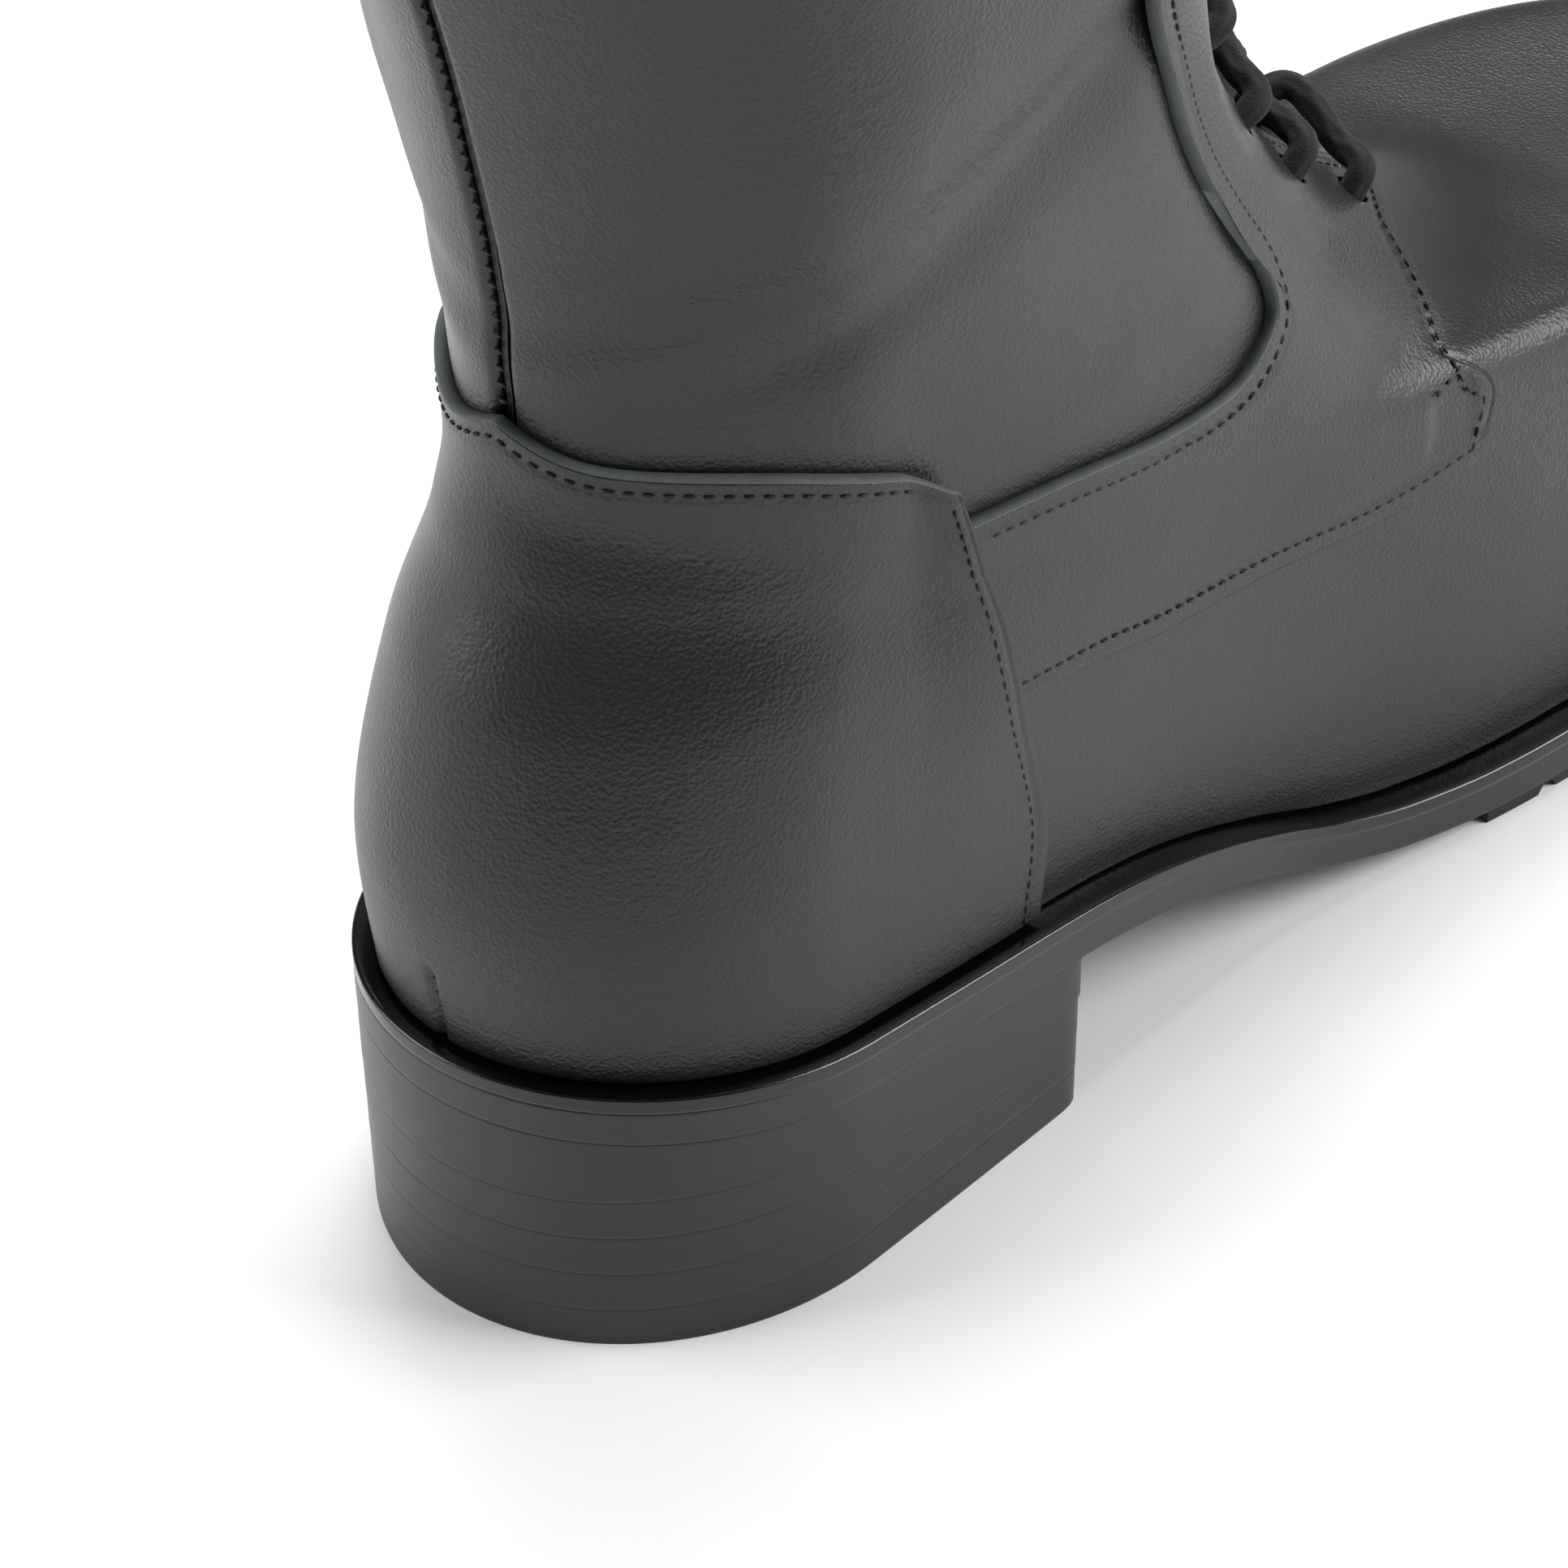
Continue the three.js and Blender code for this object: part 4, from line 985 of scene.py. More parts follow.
# ---------------------------------------------------------------- sole unit
@dataclass
class SoleUnit:
    """Heel stack, outsole, tread, welt and footbed."""

    shop: Workshop
    around: int = 300
    lift_count: int = 3
    bevel: float = 0.03
    outsole_bevel: float = 0.12
    wedge_edge: float = 0.6  # thickness of the wedge at the breast
    corner: int = 9  # rounds of smoothing at the breast's corners
    hold: float = 0.5  # flat wall kept beside a rounded edge

    def ring(self, inset: float, height: Height, shrink: float = 0.0) -> Array:
        """Ring of the whole sole's outline at a height law; shrink 1 collapses it to the middle line.

        Args:
            inset: distance inwards from the welt's edge.
            height: height law of x.
            shrink: 0 on the outline to 1 on the middle line.

        Returns:
            Points in frame metres.
        """
        form = self.shop.form
        u = np.linspace(-1, 1, self.around, endpoint=False)
        plan = form.sole_edge(u, inset)
        spine = np.column_stack([mix(45, 245, (plan[:, 0] - 5) / 292), np.zeros(len(u))])
        plan = mix(plan, spine, shrink)
        return form.metres(np.column_stack([plan, height(np.clip(plan[:, 0], 0, form.length))]))

    def heel_ring(self, inset: float, height: Height, shrink: float = 0.0) -> Array:
        """Ring round the heel, with its straight breast.

        Args:
            inset: distance inwards from the outline.
            height: height law of x.
            shrink: 0 on the outline to 1 at the middle.

        Returns:
            Points in frame metres.
        """
        form = self.shop.form
        u = np.linspace(-0.5, 0.5, 1200)
        plan = form.sole_edge(u, inset)
        plan = plan[plan[:, 0] < form.heel_length - inset]
        run = distances(plan)
        curved = np.stack([np.interp(np.linspace(0, run[-1], 150), run, plan[:, k]) for k in (0, 1)], -1)
        first, last = curved[0], curved[-1]
        breast = np.stack([mix(last[k], first[k], np.linspace(0, 1, 52)[1:-1]) for k in (0, 1)], -1)
        ring = np.vstack([curved, breast])
        near = np.exp(-((np.minimum(*(np.linalg.norm(ring - end, axis=1) for end in (first, last)))
            / 6) ** 2))[:, None]
        for _ in range(self.corner):
            ring = ring + near * ((np.roll(ring, 1, 0) + np.roll(ring, -1, 0)) / 2 - ring) / 2
        ring = mix(ring, np.array([44.0, 0.0]), shrink)
        return form.metres(np.column_stack([ring, height(ring[:, 0])]))

    def layer(self, low: Height, high: Height, inset: float) -> bmesh.types.BMesh:
        """One layer of the heel with fine rounded edges.

        Args:
            low: height law of its lower face.
            high: height law of its upper face.
            inset: distance inwards from the sole's outline.

        Returns:
            The closed layer.
        """
        b, hold = self.bevel, self.bevel + self.hold
        rows = [
            (0, low, 0, 1), (b, low, 0, 0.1), (b, low, 0, 0), (0, low, b, 0), (0, low, hold, 0),
            (0, high, -hold, 0), (0, high, -b, 0), (b, high, 0, 0), (b, high, 0, 0.1), (0, high, 0, 1),
        ]
        return loft([self.heel_ring(inset + more, raised(law, lift), shrink)
            for more, law, lift, shrink in rows])

    def build(self) -> None:
        """Makes the pieces."""
        seat = raised(self.shop.form.sole_top, -self.shop.form.outsole)
        self.heel(seat)
        self.outsole(seat)
        self.welt()
        self.tread()
        self.footbed()

    def heel(self, seat: Height) -> None:
        """Top piece, lifts and the wedge that follows the sole's pitch.

        Args:
            seat: height law of the outsole's lower face.
        """
        shop, form = self.shop, self.shop.form
        top = float(seat(form.heel_length)) - self.wedge_edge
        thick = (top - form.top_piece) / self.lift_count
        piece = self.layer(level(0), level(form.top_piece), 0.3)
        shop.piece(piece, "heel_top_piece", ["dressed"], "sole_rubber", ["top_piece"])
        for k in range(self.lift_count):
            low = form.top_piece + k * thick
            piece = self.layer(level(low), level(low + thick), 0.24 - 0.05 * k)
            node = f"heel_lift_{k + 1}"
            shop.piece(piece, f"{node}_burnished", ["stack"], "sole_leather", [node])
        wedge = self.layer(level(top), seat, 0.05)
        shop.piece(wedge, "heel_seat_burnished", ["stack"], "sole_leather", ["heel_seat_wedge"])

    def outsole(self, low: Height) -> None:
        """Leather outsole with a straight burnished wall.

        Args:
            low: height law of its lower face.
        """
        top, b = self.shop.form.sole_top, self.outsole_bevel
        rows = [
            (0, low, 0, 1), (b, low, 0, 0.4), (b, low, 0, 0), (0.04, low, 0.04, 0), (0, low, b, 0),
            (0, low, b + self.hold, 0), (0, top, -0.05 - self.hold, 0), (0, top, -0.05, 0), (0.07, top, 0,
                0),
            (0.1, top, 0, 0.5), (0, top, 0, 1),
        ]
        shape = loft([self.ring(inset, raised(law, lift), shrink) for inset, law, lift, shrink in rows])
        self.shop.piece(shape, "outsole_burnished", ["stack"], "sole_leather", ["outsole"])

    def welt(self) -> None:
        """Welt strip: its profile as distance inwards and height above the outsole."""
        profile = [
            (0.07, 0), (0, 0.06), (0, 0.5), (0, 1.6), (0, 2.0), (0.12, 2.2), (0.45, 2.32), (0.9, 2.36),
            (2.0, 2.15), (3.4, 1.95), (4.3, 2.0), (5.4, 2.1), (8, 2.1), (11.6, 2.1), (11.6, 0), (0.1, 0),
        ]
        top = self.shop.form.sole_top
        shape = loft([self.ring(inset, raised(top, lift)) for inset, lift in profile])
        self.shop.piece(shape, "welt_waxed", ["welt"], "sole_leather", ["welt"])

    def tread(self) -> None:
        """Rubber forefoot with its cross grooves and edge notches."""
        form = self.shop.form
        back, front = 0.55 * form.length, form.length - 0.7
        sheet = flat_sheet((1, 1), (230, 36))
        grown = bmesh.ops.extrude_face_region(sheet, geom=sheet.faces[:])
        bmesh.ops.translate(sheet, vec=(0, 0, 1),
            verts=[g for g in grown["geom"] if isinstance(g, bmesh.types.BMVert)])
        flat = positions(sheet)
        u = np.linspace(0, 1, 900)
        right, left = form.sole_edge(-u, 0.5), form.sole_edge(u, 0.5)
        x = mix(back, front, np.sin(flat[:, 0] * math.pi / 2))
        y = mix(np.interp(x, right[:, 0], right[:, 1]), np.interp(x, left[:, 0], left[:, 1]), flat[:, 1])
        high = form.sole_top(x) - form.outsole - 0.02
        low = np.maximum(0, high - form.tread)
        phase = np.abs((x - back - 7.5 + 3.0 * np.cos(flat[:, 1] * 2 * math.pi)) % 15 - 7.5)
        middle = step(np.abs(flat[:, 1] - 0.5), 0.12, 0.16)
        groove = 1.5 * (1 - step(phase, 1.3, 1.9)) * middle * step(x, back + 5, back + 6)
        z = np.where(flat[:, 2] > 0.5, high, np.minimum(low + groove, high - 0.3))
        put(sheet, form.metres(np.column_stack([x, y, z])))
        bmesh.ops.remove_doubles(sheet, verts=sheet.verts[:], dist=1e-5)
        bmesh.ops.recalc_face_normals(sheet, faces=sheet.faces[:])
        piece = self.shop.piece(sheet, "forefoot_tread_moulded", ["rubber"], "sole_rubber",
            ["forefoot_tread"])
        piece.data.polygons.foreach_set("use_smooth", [False] * len(piece.data.polygons))

    def footbed(self) -> None:
        """Leather-covered footbed, dished under the heel."""
        form = self.shop.form
        inset = form.welt_width + 9.6
        base = raised(form.feather, 3.2)
        top = raised(base, 3.0)
        rows = [
            (0, base, 0, 1), (0, base, 0, 0), (-0.3, base, 0.6, 0), (-0.3, top, -0.5, 0),
            (0.3, top, 0, 0), (4, top, 0.1, 0), (0, top, -0.6, 0.5), (0, top, -0.9, 1),
        ]
        rings = [self.ring(inset + more, raised(law, lift), shrink) for more, law, lift, shrink in rows]
        self.shop.piece(loft(rings), "footbed_covered", ["lining"], "lining_leather", ["footbed"])


# ---------------------------------------------------------------- upper
@dataclass
class Upper:
    """Leather panels, their stitching and the linings."""

    shop: Workshop
    stitching: Stitching = field(default_factory=Stitching)
    hide: float = 1.9  # outer face of the laid-on panels above the form
    lap_rise: float = 1.75  # how far the counter climbs over the facing
    lap_from: tuple[float, float] = (56, 80)  # heights between which it starts to climb
    row_inset: float = 2.6
    row_reach: float = 0.7
    row_press: float = 0.2
    counter_size: tuple[float, float] = (224, 84)
    vamp_size: tuple[float, float] = (480, 88)
    quarter_size: tuple[float, float] = (118, 150)
    facing_size: tuple[float, float] = (260, 42)
    lining_size: tuple[float, float] = (330, 200)
    hole_radius: float = 2.55  # lace holes in the facings
    lining_hole_radius: float = 3.9  # clears the eyelets

    def rows_pressed(self, *insets: Array) -> Array:
        """Groove that the stitch rows press, from the distances to their edges."""
        row = sum(hill(inset, self.row_inset, self.row_reach) for inset in insets)
        return -self.row_press * np.minimum(row, 1)

    def counter_relief(self, spot: Spot) -> tuple[Array, Array]:
        """The counter climbs over the facing's end and is taken in by a dart at the back.

        Args:
            spot: where the counter's points lie.

        Returns:
            Height added to both faces, and to the outer face only.
        """
        width, height = self.counter_size
        from_front = width / 2 * (1 - np.abs(2 * spot.s - 1))
        from_top = height * (1 - spot.r)
        climb = self.lap_rise * (1 - step(from_front, 3, 30)) * step(spot.z, *self.lap_from)
        soft = 0.5 * hill(from_top, 12, 7) * hill(spot.x, 34, 22)
        dart = hill(width * (spot.s - 0.5), 0, 0.8) * (1 - step(spot.r, 0.13, 0.16))
        return climb - soft, self.rows_pressed(from_top, from_front) - 0.9 * dart

    def quarter_relief(self, spot: Spot) -> tuple[Array, Array]:
        """Ankle folds, pull creases above the counter and rolled lips at the back seam.

        Args:
            spot: where the quarter's points lie.

        Returns:
            Height added to both faces, and to the outer face only.
        """
        x, z = spot.x, spot.z
        pull = z - 0.42 * (x - 20) - 129
        creases = 0.4 * np.sin(pull / 2.1 + 0.8 * np.sin(x / 9)) * hill(pull, 6, 9) * hill(x, 36, 20)
        fold = -1.4 * hill(z - 0.55 * (x - 30), 133, 8) * step(x, 20, 40) * (1 - step(x, 80, 112))
        ankle = 0.9 * hill(z - 0.35 * (x - 30), 158, 11) * step(x, 16, 40)
        ripple = 0.25 * np.sin((z - 0.2 * x) / 3.4) * hill(z - 0.05 * x, 106, 7)
        ripple = ripple * step(x, 55, 75) * (1 - step(x, 100, 118))
        lip = -1.7 * hill(self.quarter_size[0] * np.abs(spot.s), 0, 1)
        return fold + ankle + creases + ripple, lip

    def facing_relief(self, spot: Spot) -> tuple[Array, Array]:
        """Stitch grooves, the sunk patch by the bar tack and pull wrinkles by the lace holes.

        Args:
            spot: where the facing's points lie.

        Returns:
            Height added to both faces, and to the outer face only.
        """
        x, z, width = spot.x, spot.z, self.facing_size[1]
        rear, seam = (1 - spot.r) * width, spot.r * width
        row = hill(rear, 2.8, self.row_reach) + hill(seam, self.row_inset, self.row_reach)
        pull = 0.28 * np.sin((x + 0.6 * z) / 2.3) * hill(seam, 20, 7) * step(spot.s, 0.5, 0.62)
        soft = -0.8 * hill(z, 84, 7) * hill(x, 142, 16)
        tack = step(x, 148.5, 149.5) * (1 - step(x, 157, 158.5))
        tack = tack * step(z, 69, 71) * (1 - step(z, 77.5, 78.2))
        return soft + pull - 0.35 * tack, -self.row_press * np.minimum(row, 1)

    def vamp_relief(self, spot: Spot) -> tuple[Array, Array]:
        """Walking creases across the ball and a soft hollow beside the counter.

        Args:
            spot: where the vamp's points lie.

        Returns:
            Height added to both faces, and to the outer face only.
        """
        x, z = spot.x, spot.z
        crease = 0.25 * np.sin((x + 0.35 * z) / 3.6) * hill(x, 205, 16) * hill(z, 62, 16)
        hollow = -0.5 * hill(x, 96, 12) * hill(z, 52, 10)
        return crease + hollow, np.zeros(len(x))

    def build(self) -> None:
        """Makes the pieces."""
        shop, form, cut = self.shop, self.shop.form, self.shop.patterns
        over, edge = (0.05, self.hide), ["upper", "cut_edge"]
        panel = Panel(over_back(cut.counter), self.counter_size, (250, 100), over, self.counter_relief)
        shop.piece(panel.shape(form), "outside_counter_leather", edge, "upper_leather", ["outside_counter"])
        panel = Panel(over_front(cut.vamp), self.vamp_size, (300, 90), (-form.leather, 0), self.vamp_relief,
            crowd=0.2)
        shop.piece(panel.shape(form), "vamp_leather", edge, "upper_leather", ["vamp"])
        for side in Side:
            panel = Panel(on_side(cut.quarter, side), self.quarter_size, (120, 140), (-form.leather, 0),
                self.quarter_relief, rounding=0.5)
            shop.piece(panel.shape(form), f"{side.word}_quarter_leather", edge, "upper_leather",
                [f"{side.word}_quarter"])
            panel = Panel(on_side(cut.facing, side), self.facing_size, (300, 50), over, self.facing_relief)
            facing = shop.piece(panel.shape(form), f"{side.word}_facing_leather", edge, "upper_leather",
                [f"{side.word}_facing"])
            self.punch(facing, side)
        panel = Panel(over_back(cut.lining), self.lining_size, (160, 70), (-4.6, -3.6), None, rounding=0.2,
            crowd=0.2)
        lining = shop.piece(panel.shape(form), "quarter_lining_leather", ["lining", "lining"],
            "lining_leather", ["quarter_lining"])
        self.punch(lining, Side.RIGHT)
        self.punch(lining, Side.LEFT)
        self.sew()

    def punch(self, piece: bpy.types.Object, side: Side) -> None:
        """Cuts the lace holes of one side out of a panel.

        Args:
            piece: the panel, whose mesh is replaced.
            side: side of the holes.
        """
        form = self.shop.form
        radius = self.hole_radius if "facing" in piece.name else self.lining_hole_radius
        tool = bmesh.new()
        for k in range(form.pairs):
            foot, out = form.eyelet(side.value, k)
            turn = Vector(out).to_track_quat("Z", "Y").to_matrix().to_4x4()
            bmesh.ops.create_cone(tool, cap_ends=True, segments=28, radius1=radius * MM,
                radius2=radius * MM, depth=0.016,
                                  matrix=Matrix.Translation(form.metres(foot)) @ turn)
        mesh = bpy.data.meshes.new("punch")
        tool.to_mesh(mesh)
        tool.free()
        cutter = bpy.data.objects.new("punch", mesh)
        bpy.context.scene.collection.objects.link(cutter)
        modifier = piece.modifiers.new("holes", "BOOLEAN")
        modifier.object, modifier.operation, modifier.solver = cutter, "DIFFERENCE", "EXACT"
        bpy.context.view_layer.update()
        result = bpy.data.meshes.new_from_object(piece.evaluated_get(bpy.context.evaluated_depsgraph_get()))
        piece.modifiers.clear()
        piece.data = result
        bpy.data.objects.remove(cutter)

    def sew(self) -> None:
        """Sews every visible row."""
        shop, form, cut = self.shop, self.shop.form, self.shop.patterns
        top = self.hide - 0.08  # middle of the thread on the laid-on panels
        rows: dict[str, list[tuple[Array, bool]]] = {
            name: [] for name in ("counter", "facings", "back_seam", "collar")
        }
        for side in Side:
            rows["counter"].append((edge_line(cut.counter_top, side, 0, 0.97, (0, -0.12), top), False))
            down = edge_line(cut.counter_front, side, 0.0, 0.975, (-0.0085, 0), top)
            z = form.shell(down[:, 0], down[:, 1])[:, 2]
            down[:, 2] += self.lap_rise * step(z, *self.lap_from)
            rows["counter"].append((down, False))
            for edge, start, sign in ((cut.facing_rear, 0.04, -1), (cut.facing_front, 0.035, 1)):
                line = edge_line(edge, side, start, 0.995, (0, 0), top)
                rows["facings"].append((self.moved(line, 2.8 * sign), False))
            if side is Side.LEFT:
                rows["back_seam"].append((row_between(side, (0.0052, 4.35), (0.0052, 7.96), -0.55, 80),
                    True))
                rows["counter"].append((row_between(side, (0.001, 0.09), (0.001, 0.62), top - 0.65, 40),
                    True))
            bar = (form.locate(156.8, 79.0), form.locate(149.0, 78.0))
            rows["facings"].append((row_between(side, *bar, top, 40), False))
            rows["collar"].append((row_between(side, (0.02, 7.93), (0.66, 7.93), -0.02, 160), False))
        for name, lines in rows.items():
            shape = bmesh.new()
            count = sum(self.stitching.sew(shape, form, line, across) for line, across in lines)
            shop.piece(shape, f"stitching_{name}", ["thread"], "upper_leather")
            log.info("%s: %d stitches", name, count)

    def moved(self, line: Array, distance: float) -> Array:
        """A row moved sideways on the form by a distance in millimetres.

        Args:
            line: signed around, ring and height of each point.
            distance: how far, positive to the row's left.

        Returns:
            The moved row.
        """
        form = self.shop.form
        here = form.shell(line[:, 0], line[:, 1])
        du, dv = 0.002, 0.01
        along_u = (form.shell(np.clip(line[:, 0] + du, -1, 1), line[:, 1]) - here) / du
        along_v = (form.shell(line[:, 0], np.minimum(line[:, 1] + dv, RINGS))
            - form.shell(line[:, 0], np.minimum(line[:, 1] + dv, RINGS) - dv)) / dv
        way = np.gradient(here, axis=0)
        way /= np.linalg.norm(way, axis=1, keepdims=True)
        out = form.normal(np.clip(line[:, 0], -0.997, 0.997), line[:, 1])
        across = np.cross(out, way) * distance * np.sign(line[:, 0])[:, None] * -1
        gram = np.stack([np.stack([(a * b).sum(1) for b in (along_u, along_v)], -1)
            for a in (along_u, along_v)], -2)
        right = np.stack([(along_u * across).sum(1), (along_v * across).sum(1)], -1)
        shift = np.linalg.solve(gram, right[..., None])[..., 0]
        moved = line.copy()
        moved[:, 0] += shift[:, 0]
        moved[:, 1] = np.clip(moved[:, 1] + shift[:, 1], 0, RINGS)
        return moved


# ---------------------------------------------------------------- tongue
@dataclass
class Tongue:
    """Tongue and its lining, which tilt forward together."""

    shop: Workshop
    base: float = 3.6  # ring of its sewn foot
    rise: float = 10.0
    foot_level: float = -9.32

    def face(self, s: Array, r: Array, level: float, depth: Array) -> Array:
        """Points of a face of the tongue.

        Args:
            s: share across.
            r: share up.
            level: height of the outer face above the form.
            depth: depth below the outer face.

        Returns:
            Points in form millimetres.
        """
        form = self.shop.form
        v = mix(self.base, RINGS, np.minimum(1, r / 0.94))
        half = 20 + (v - self.base) / (RINGS - self.base) * 12
        down = mix(self.foot_level, level, step(v, 3.72, 4.0)) - depth
        side = form.beside_front(v, half)
        u = mix(side, 1, 1 - np.abs(2 * s - 1))
        points = form.skin(np.where(s < 0.5, -u, u), v, down)
        points[:, 2] += self.rise * np.maximum(0, (r - 0.94) / 0.06)
        return points

    def build(self) -> None:
        """Makes the pieces."""
        form = self.shop.form
        for name, node, finish, slot, depth, thick in (
            ("tongue_leather", "tongue", "upper", "upper_leather", 0.0, 1.6),
            ("tongue_lining_leather", "tongue_lining", "lining", "lining_leather", 1.75, 1.0),
        ):
            sheet = flat_sheet((58, 190), (44, 120), 0.3)
            grown = bmesh.ops.extrude_face_region(sheet, geom=sheet.faces[:])
            bmesh.ops.translate(sheet, vec=(0, 0, thick),
                verts=[g for g in grown["geom"] if isinstance(g, bmesh.types.BMVert)])
            flat = positions(sheet)
            s, r = flat[:, 0] / 58, flat[:, 1] / 190
            put(sheet, form.metres(self.face(s, r, -10.42, depth + thick - flat[:, 2])))
            bmesh.ops.recalc_face_normals(sheet, faces=sheet.faces[:])
            self.shop.piece(sheet, name, [finish], slot, [node], "tongue")


# ---------------------------------------------------------------- laces
@dataclass
class Braid:
    """Round braided cord of a thickness, with its strands in relief."""

    thickness: float = 4.0
    sides: int = 28
    spacing: float = 0.4
    strands: int = 6
    pitch: float = 9.0
    relief: float = 0.08

    def tube(self, path: Array, taper: tuple[float, float] = (1.0, 1.0)) -> bmesh.types.BMesh:
        """Tube round a path in form millimetres, closed at both ends.

        Args:
            path: evenly spaced points.
            taper: how far each end keeps its thickness; not used.

        Returns:
            The shape, still in form millimetres.
        """
        count = len(path)
        way = np.gradient(path, axis=0)
        way /= np.linalg.norm(way, axis=1, keepdims=True)
        side = np.zeros_like(path)
        first = np.cross(way[0], [0.3, 0.5, 0.81])
        side[0] = first / np.linalg.norm(first)
        for i in range(1, count):
            turned = side[i - 1] - way[i] * (side[i - 1] @ way[i])
            side[i] = turned / np.linalg.norm(turned)
        other = np.cross(way, side)
        shape = flat_sheet((1, 1), (self.sides, count - 1))
        flat = positions(shape)
        row = np.rint(flat[:, 1] * (count - 1)).astype(int)
        angle = 2 * math.pi * flat[:, 0]
        run = distances(path)
        twist = 2 * math.pi * run[row] / self.pitch
        weave = np.maximum(np.cos(self.strands * angle + twist), np.cos(self.strands * angle - twist))
        ends = np.minimum(run, run[-1] - run)[row]
        round_end = np.sqrt(np.clip(1 - (1 - np.clip(ends / 1.2, 0, 1)) ** 2, 0, 1))
        radius = (self.thickness / 2 - self.relief + 2 * self.relief * (weave - 0.5)) * round_end
        points = path[row] + radius[:, None] * (np.cos(angle)[:, None] * side[row] + np.sin(angle)[:, None]
            * other[row])
        put(shape, points)
        bmesh.ops.remove_doubles(shape, verts=shape.verts[:], dist=1e-3)
        bmesh.ops.recalc_face_normals(shape, faces=shape.faces[:])
        return shape


@dataclass
class Lacing:
    """The lace through its holes, the knot, the bow's loops and the hanging ends with their tips."""

    shop: Workshop
    braid: Braid = field(default_factory=Braid)
    under: float = -7.92
    over: float = 5.8
    # the middle of the lace from the knot's middle: forward, outward and up
    loop_route: tuple = (
        (0.9, 6.8, 5.3), (0.4, 10.5, 6.8), (-1.6, 15.5, 5.9), (-5.1, 21, 1.2), (-9.1, 26.5, -6.6),
        (-14.1, 31, -15.6), (-18.1, 34, -25.1), (-20.6, 35.3, -34.6), (-20.8, 34.3, -42.6), (-18.4, 31.5,
            -48.1),
        (-14.4, 27.7, -49.6), (-10, 24, -46.1), (-6.1, 21, -38.6), (-3, 18, -29.6), (-0.4, 14.9, -20.1),
        (2.4, 11.3, -11.8), (4.2, 8.4, -6.6),
    )
    tail_route: tuple = (
        (3.4, 2.7, -6.3), (5.1, 3.9, -10.9), (5.6, 6, -15.6), (5.4, 8.4, -20), (4.7, 11.1, -24.3),
        (3.5, 13.7, -28.5), (1.9, 16.3, -32.6), (0.3, 18.5, -36.9), (-1.4, 20.4, -41.3), (-3.2, 21.9,
            -45.8),
        (-5, 22.9, -50.4), (-6.4, 23.3, -55.3), (-7.1, 23.5, -60.3), (-7, 23.4, -65.4), (-6.4, 23.2, -70.5),
        (-5.4, 23, -75.6),
    )

    def knot_middle(self) -> Array:
        """Middle of the knot, in form millimetres."""
        form = self.shop.form
        return form.skin(1.0, form.eyelet_ring(form.pairs - 1), self.over + 3)

    def route(self, points: Sequence[Sequence[float]], side: Side) -> Spline:
        """A route drawn from the knot's middle, on one side."""
        middle = self.knot_middle()
        return Spline([(middle[0] + x, side.value * y, middle[2] + z) for x, y, z in points])

    def free_cords(self) -> None:
        """The bow's loops and the hanging ends, with a tip on each hanging end."""
        shop, form = self.shop, self.shop.form
        for side in Side:
            loop = self.route(self.loop_route, side).evenly(self.braid.spacing)
            tail = self.route(self.tail_route, side).evenly(self.braid.spacing)
            pieces = []
            for name, path, node in ((f"bow_loop_{side.word}_braid", loop, f"bow_loop_{side.word}"),
                                     (f"lace_end_{side.word}_braid", tail, f"lace_tail_{side.word}")):
                shape = self.braid.tube(path)
                put(shape, form.metres(positions(shape)))
                pieces.append(shop.piece(shape, name, ["lace"], "lace_yarn", [node]))
            tip = self.tip(tail, side)
            for piece, path, end, going in ((pieces[0], loop, "object", []),
                    (pieces[1], tail, "fitting", [tip])):
                line = form.metres(path[::4])

    def tip(self, tail: Array, side: Side) -> bpy.types.Object:
        """Aglet: a sleeve that grips the cord, with a rounded end.

        Args:
            tail: points along the hanging end.
            side: side of the boot.

        Returns:
            The sleeve.
        """
        way = tail[-1] - tail[-3]
        way /= np.linalg.norm(way)
        centre, turn = tail[-1], Vector(way).to_track_quat("Z", "Y").to_matrix()
        rings = []
        for along, radius in ((-3.2, 0.0), (-3.2, 2.1), (-2.9, 2.2), (1.0, 2.1), (4, 1.85), (15, 1.75),
                (17.6, 1.7), (18.5, 1.4), (18.9, 0.8), (19, 0.0)):
            turns = np.linspace(0, 2 * math.pi, 20, endpoint=False)
            ring = np.column_stack([radius * np.cos(turns), radius * np.sin(turns), np.full(20, along)])
            rings.append(self.shop.form.metres(ring @ np.array(turn).T + centre))
        return self.shop.piece(loft(rings), f"lace_tip_{side.word}", ["tip"], "aglet_plastic",
            [f"aglet_{side.word}"])

    def crossing(self, side: int, k: int, crest: float) -> list[Array]:
        """Lace from the inside of one hole over the throat to the inside of the next on the other side.

        Args:
            side: side of the hole where it starts, -1 or 1.
            k: number of that hole.
            crest: height of the lace at the middle of the throat.

        Returns:
            Points in form millimetres.
        """
        form = self.shop.form
        (foot, out), (far_foot, far_out) = form.eyelet(side, k), form.eyelet(-side, k + 1)

        def beside(which: int, place: float, reach: float, height: float) -> Array:
            """Point beside the throat at hole number place."""
            return form.by_front(which, form.eyelet_ring(place), reach, height)

        turn = form.eyelet_set - 1.4
        return [
            foot + out * self.under / 2, foot + out * (self.over - 3.8), beside(side, k + 0.04, turn,
                self.over - 1.0),
            beside(side, k + 0.2, 1, self.over - 1.2), form.skin(1.0, form.eyelet_ring(k + 0.5),
                crest - 1.2),
            beside(-side, k + 0.72, -3.2, (crest + self.under) / 2), beside(-side, k + 0.8, -0.8,
                self.under + 0.3),
            beside(-side, k + 0.88, 2, self.under), beside(-side, k + 0.98, turn,
                self.under), far_foot + far_out * (self.under + 1.6),
        ]

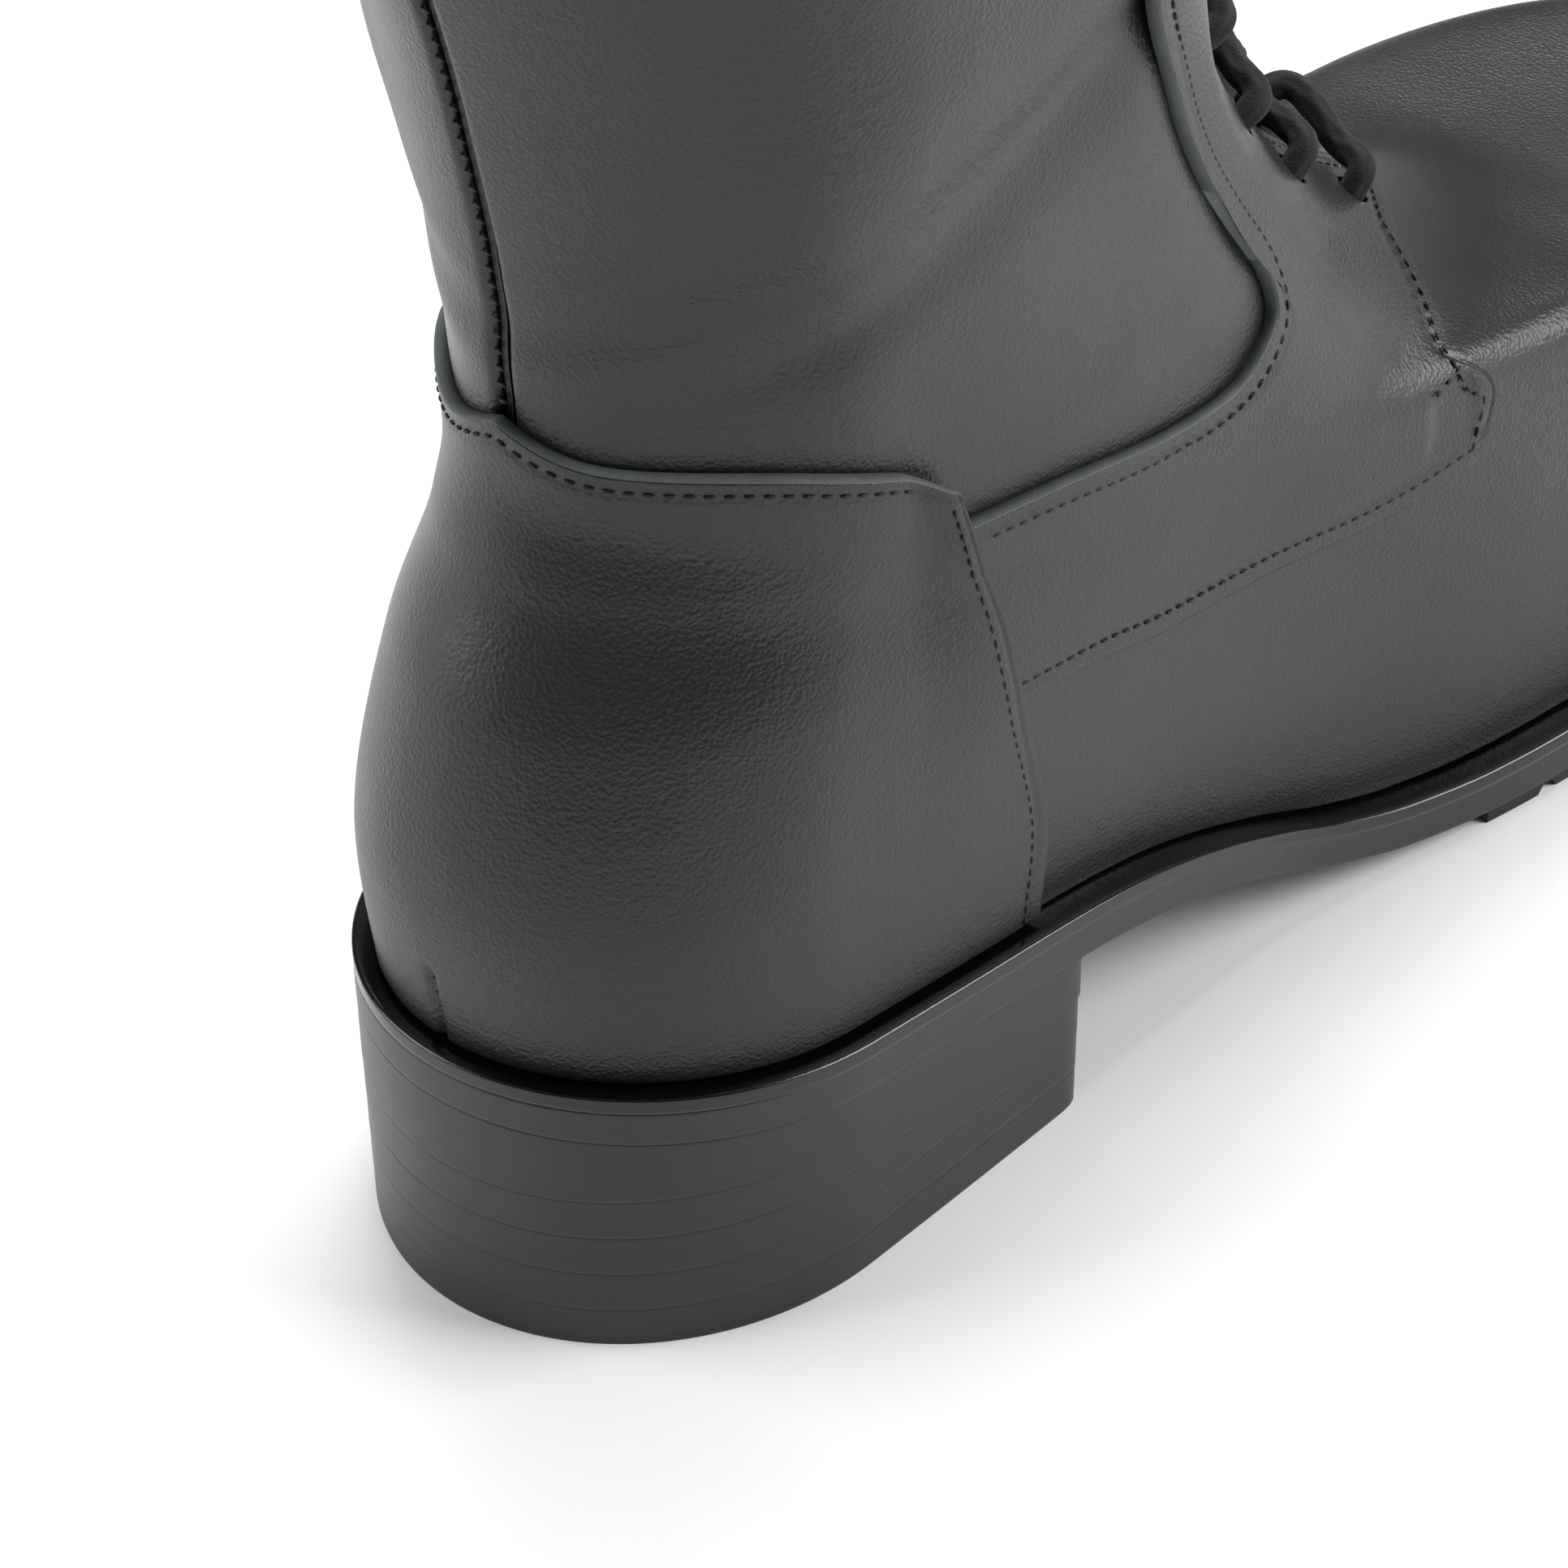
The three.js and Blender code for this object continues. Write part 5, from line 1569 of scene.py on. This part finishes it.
    def lace_end(self, side: int, crest: float) -> list[Array]:
        """One end of the lace from the lowest hole up to the knot.

        Args:
            side: side of the lowest hole, -1 or 1.
            crest: height of the lace at the middle of the throat.

        Returns:
            Points in form millimetres.
        """
        form = self.shop.form
        points: list[Array] = []
        for k in range(form.pairs - 1):
            points += self.crossing(side, k, crest)
            side = -side
        foot, out = form.eyelet(side, form.pairs - 1)
        v = form.eyelet_ring(form.pairs - 1)
        points.append(foot + out * 2.4)
        points += [form.by_front(side, v, reach, self.over - 0.4) for reach in (form.eyelet_set - 1.4, 3.5)]
        knot = form.skin(1.0, v, self.over + 3)
        return [*points, np.array([knot[0], side * 7.0, knot[2]])]

    def build(self) -> None:
        """Makes the pieces."""
        shop, form = self.shop, self.shop.form
        self.free_cords()
        low = form.eyelet_ring(0)
        reach = float(form.throat(low)) + form.eyelet_set - 1.4
        bar = [form.skin(math.copysign(float(form.beside_front(low, abs(y))), y), low, self.under)
            for y in (-reach, -reach / 2, reach / 2, reach)]
        into = [form.eyelet(side, 0)[0] + form.eyelet(side, 0)[1] * (self.under + 1.6) for side in (-1, 1)]
        points = [*self.lace_end(-1, self.over + 3.4)[::-1], into[0], *bar, into[1],
            *self.lace_end(1, self.over - 2)]
        shape = self.braid.tube(Spline(points).evenly(self.braid.spacing))
        put(shape, form.metres(positions(shape)))
        shop.piece(shape, "lace_braid", ["lace"], "lace_yarn", ["lace"])
        self.knot()

    def knot(self) -> None:
        """Tight knot: a three-lobed wrap of the same braid."""
        t = np.linspace(0, 2 * math.pi, 40)
        wrap = np.column_stack([1.5 * np.sin(3 * t), 3.0 * (np.sin(t) + 0.75 * np.sin(2 * t)),
            2.6 * (np.cos(t) - 0.9 * np.cos(2 * t))])
        shape = self.braid.tube(Spline(self.knot_middle() + wrap).evenly(self.braid.spacing))
        put(shape, self.shop.form.metres(positions(shape)))
        self.shop.piece(shape, "bow_knot_braid", ["lace"], "lace_yarn", ["bow_knot"])


# ---------------------------------------------------------------- carried-over frame nodes
class InnerParts:
    """Frame nodes that keep their own shape and get their finish."""

    finish_of = {
        "fibreboard": "board", "stay_cloth": "tape", "cork": "cork", "spring_steel": "steel",
        "eyelet_brass": "brass", "lining_leather": "lining",
    }

    def dress(self, shop: Workshop) -> None:
        """Assigns each finish to its nodes."""
        for part in frame["record"]["subparts"]:
            node = frame["nodes"][part["node"]]
            finish = self.finish_of.get(part["material_slot"])
            if finish:
                node.data.materials.clear()
                node.data.materials.append(shop.finishes[finish])


# ---------------------------------------------------------------- studio
@dataclass
class Studio:
    """Camera, floor and soft light."""

    form: BootForm
    lens: float = 102.47
    yaw: float = 42.161
    pitch: float = 38.271
    roll: float = -0.692
    target: tuple[float, float, float] = (87.988, 20.929, 20.0)
    distance: float = 614.677

    def camera(self) -> None:
        """Puts the camera where the object is seen from behind and above."""
        yaw, pitch, roll = (math.radians(a) for a in (self.yaw, self.pitch, self.roll))
        look = Vector((math.cos(yaw) * math.cos(pitch), math.sin(yaw) * math.cos(pitch), -math.sin(pitch)))
        right = Vector((math.sin(yaw), -math.cos(yaw), 0))
        up = right.cross(look)
        right, up = math.cos(roll) * right + math.sin(roll) * up, math.cos(roll) * up - math.sin(roll) * right
        data = bpy.data.cameras.new("camera")
        data.lens, data.sensor_width, data.clip_start, data.clip_end = self.lens, 36, 0.05, 20
        camera = bpy.data.objects.new("camera", data)
        place = Vector(self.form.metres(self.target)) - look * self.distance * MM
        camera.matrix_world = Matrix.Translation(place) @ Matrix((right, up, -look)).transposed().to_4x4()
        bpy.context.scene.collection.objects.link(camera)
        bpy.context.scene.camera = camera

    def lamp(self, name: str, place: Sequence[float], size: tuple[float, float], power: float,
            aim: Sequence[float] = (0, 0, 0.08)) -> None:
        """One softbox aimed at a point.

        Args:
            name: the lamp's name.
            place: its middle in metres.
            size: its sides in metres.
            power: watts.
            aim: the point it faces.
        """
        data = bpy.data.lights.new(name, "AREA")
        data.shape, data.size, data.size_y, data.energy = "RECTANGLE", size[0], size[1], power
        lamp = bpy.data.objects.new(name, data)
        lamp.location = place
        lamp.rotation_euler = (Vector(aim) - Vector(place)).to_track_quat("-Z", "Y").to_euler()
        bpy.context.scene.collection.objects.link(lamp)

    def build(self) -> None:
        """Floor, lights and world."""
        shape = bmesh.new()
        bmesh.ops.create_grid(shape, x_segments=1, y_segments=1, size=14.0)
        mesh = bpy.data.meshes.new("floor")
        shape.to_mesh(mesh)
        shape.free()
        floor = bpy.data.objects.new("floor", mesh)
        bpy.context.scene.collection.objects.link(floor)
        floor.data.materials.append(Finish("studio_paper", "#f4f4f4", "#f8f8f8", 0.9, 2.0, 0.01).make())
        self.lamp("left_box", (-0.9, 0.9, 0.75), (0.9, 0.9), 15)
        self.lamp("right_box", (0.85, -1.05, 0.85), (1.0, 0.9), 27)
        self.lamp("top_box", (0.55, 0.4, 1.45), (1.1, 1.1), 29)
        world = bpy.data.worlds.new("studio")
        world.use_nodes = True
        world.node_tree.nodes["Background"].inputs["Color"].default_value = (0.9, 0.92, 0.95, 1)
        world.node_tree.nodes["Background"].inputs["Strength"].default_value = 0.16
        bpy.context.scene.world = world
        bpy.context.scene.view_settings.view_transform = "Standard"


def main() -> None:
    """Builds the scene in order: camera and cords first, then the rest."""
    logging.basicConfig(level=logging.INFO, format="%(name)s %(message)s")
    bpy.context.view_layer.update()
    form = BootForm()
    shop = Workshop(form, Patterns(form), Finishes())
    studio = Studio(form)
    studio.camera()
    Lacing(shop).build()
    SoleUnit(shop).build()
    Upper(shop).build()
    Tongue(shop).build()
    InnerParts().dress(shop)
    studio.build()


if __name__ == "__main__":
    main()
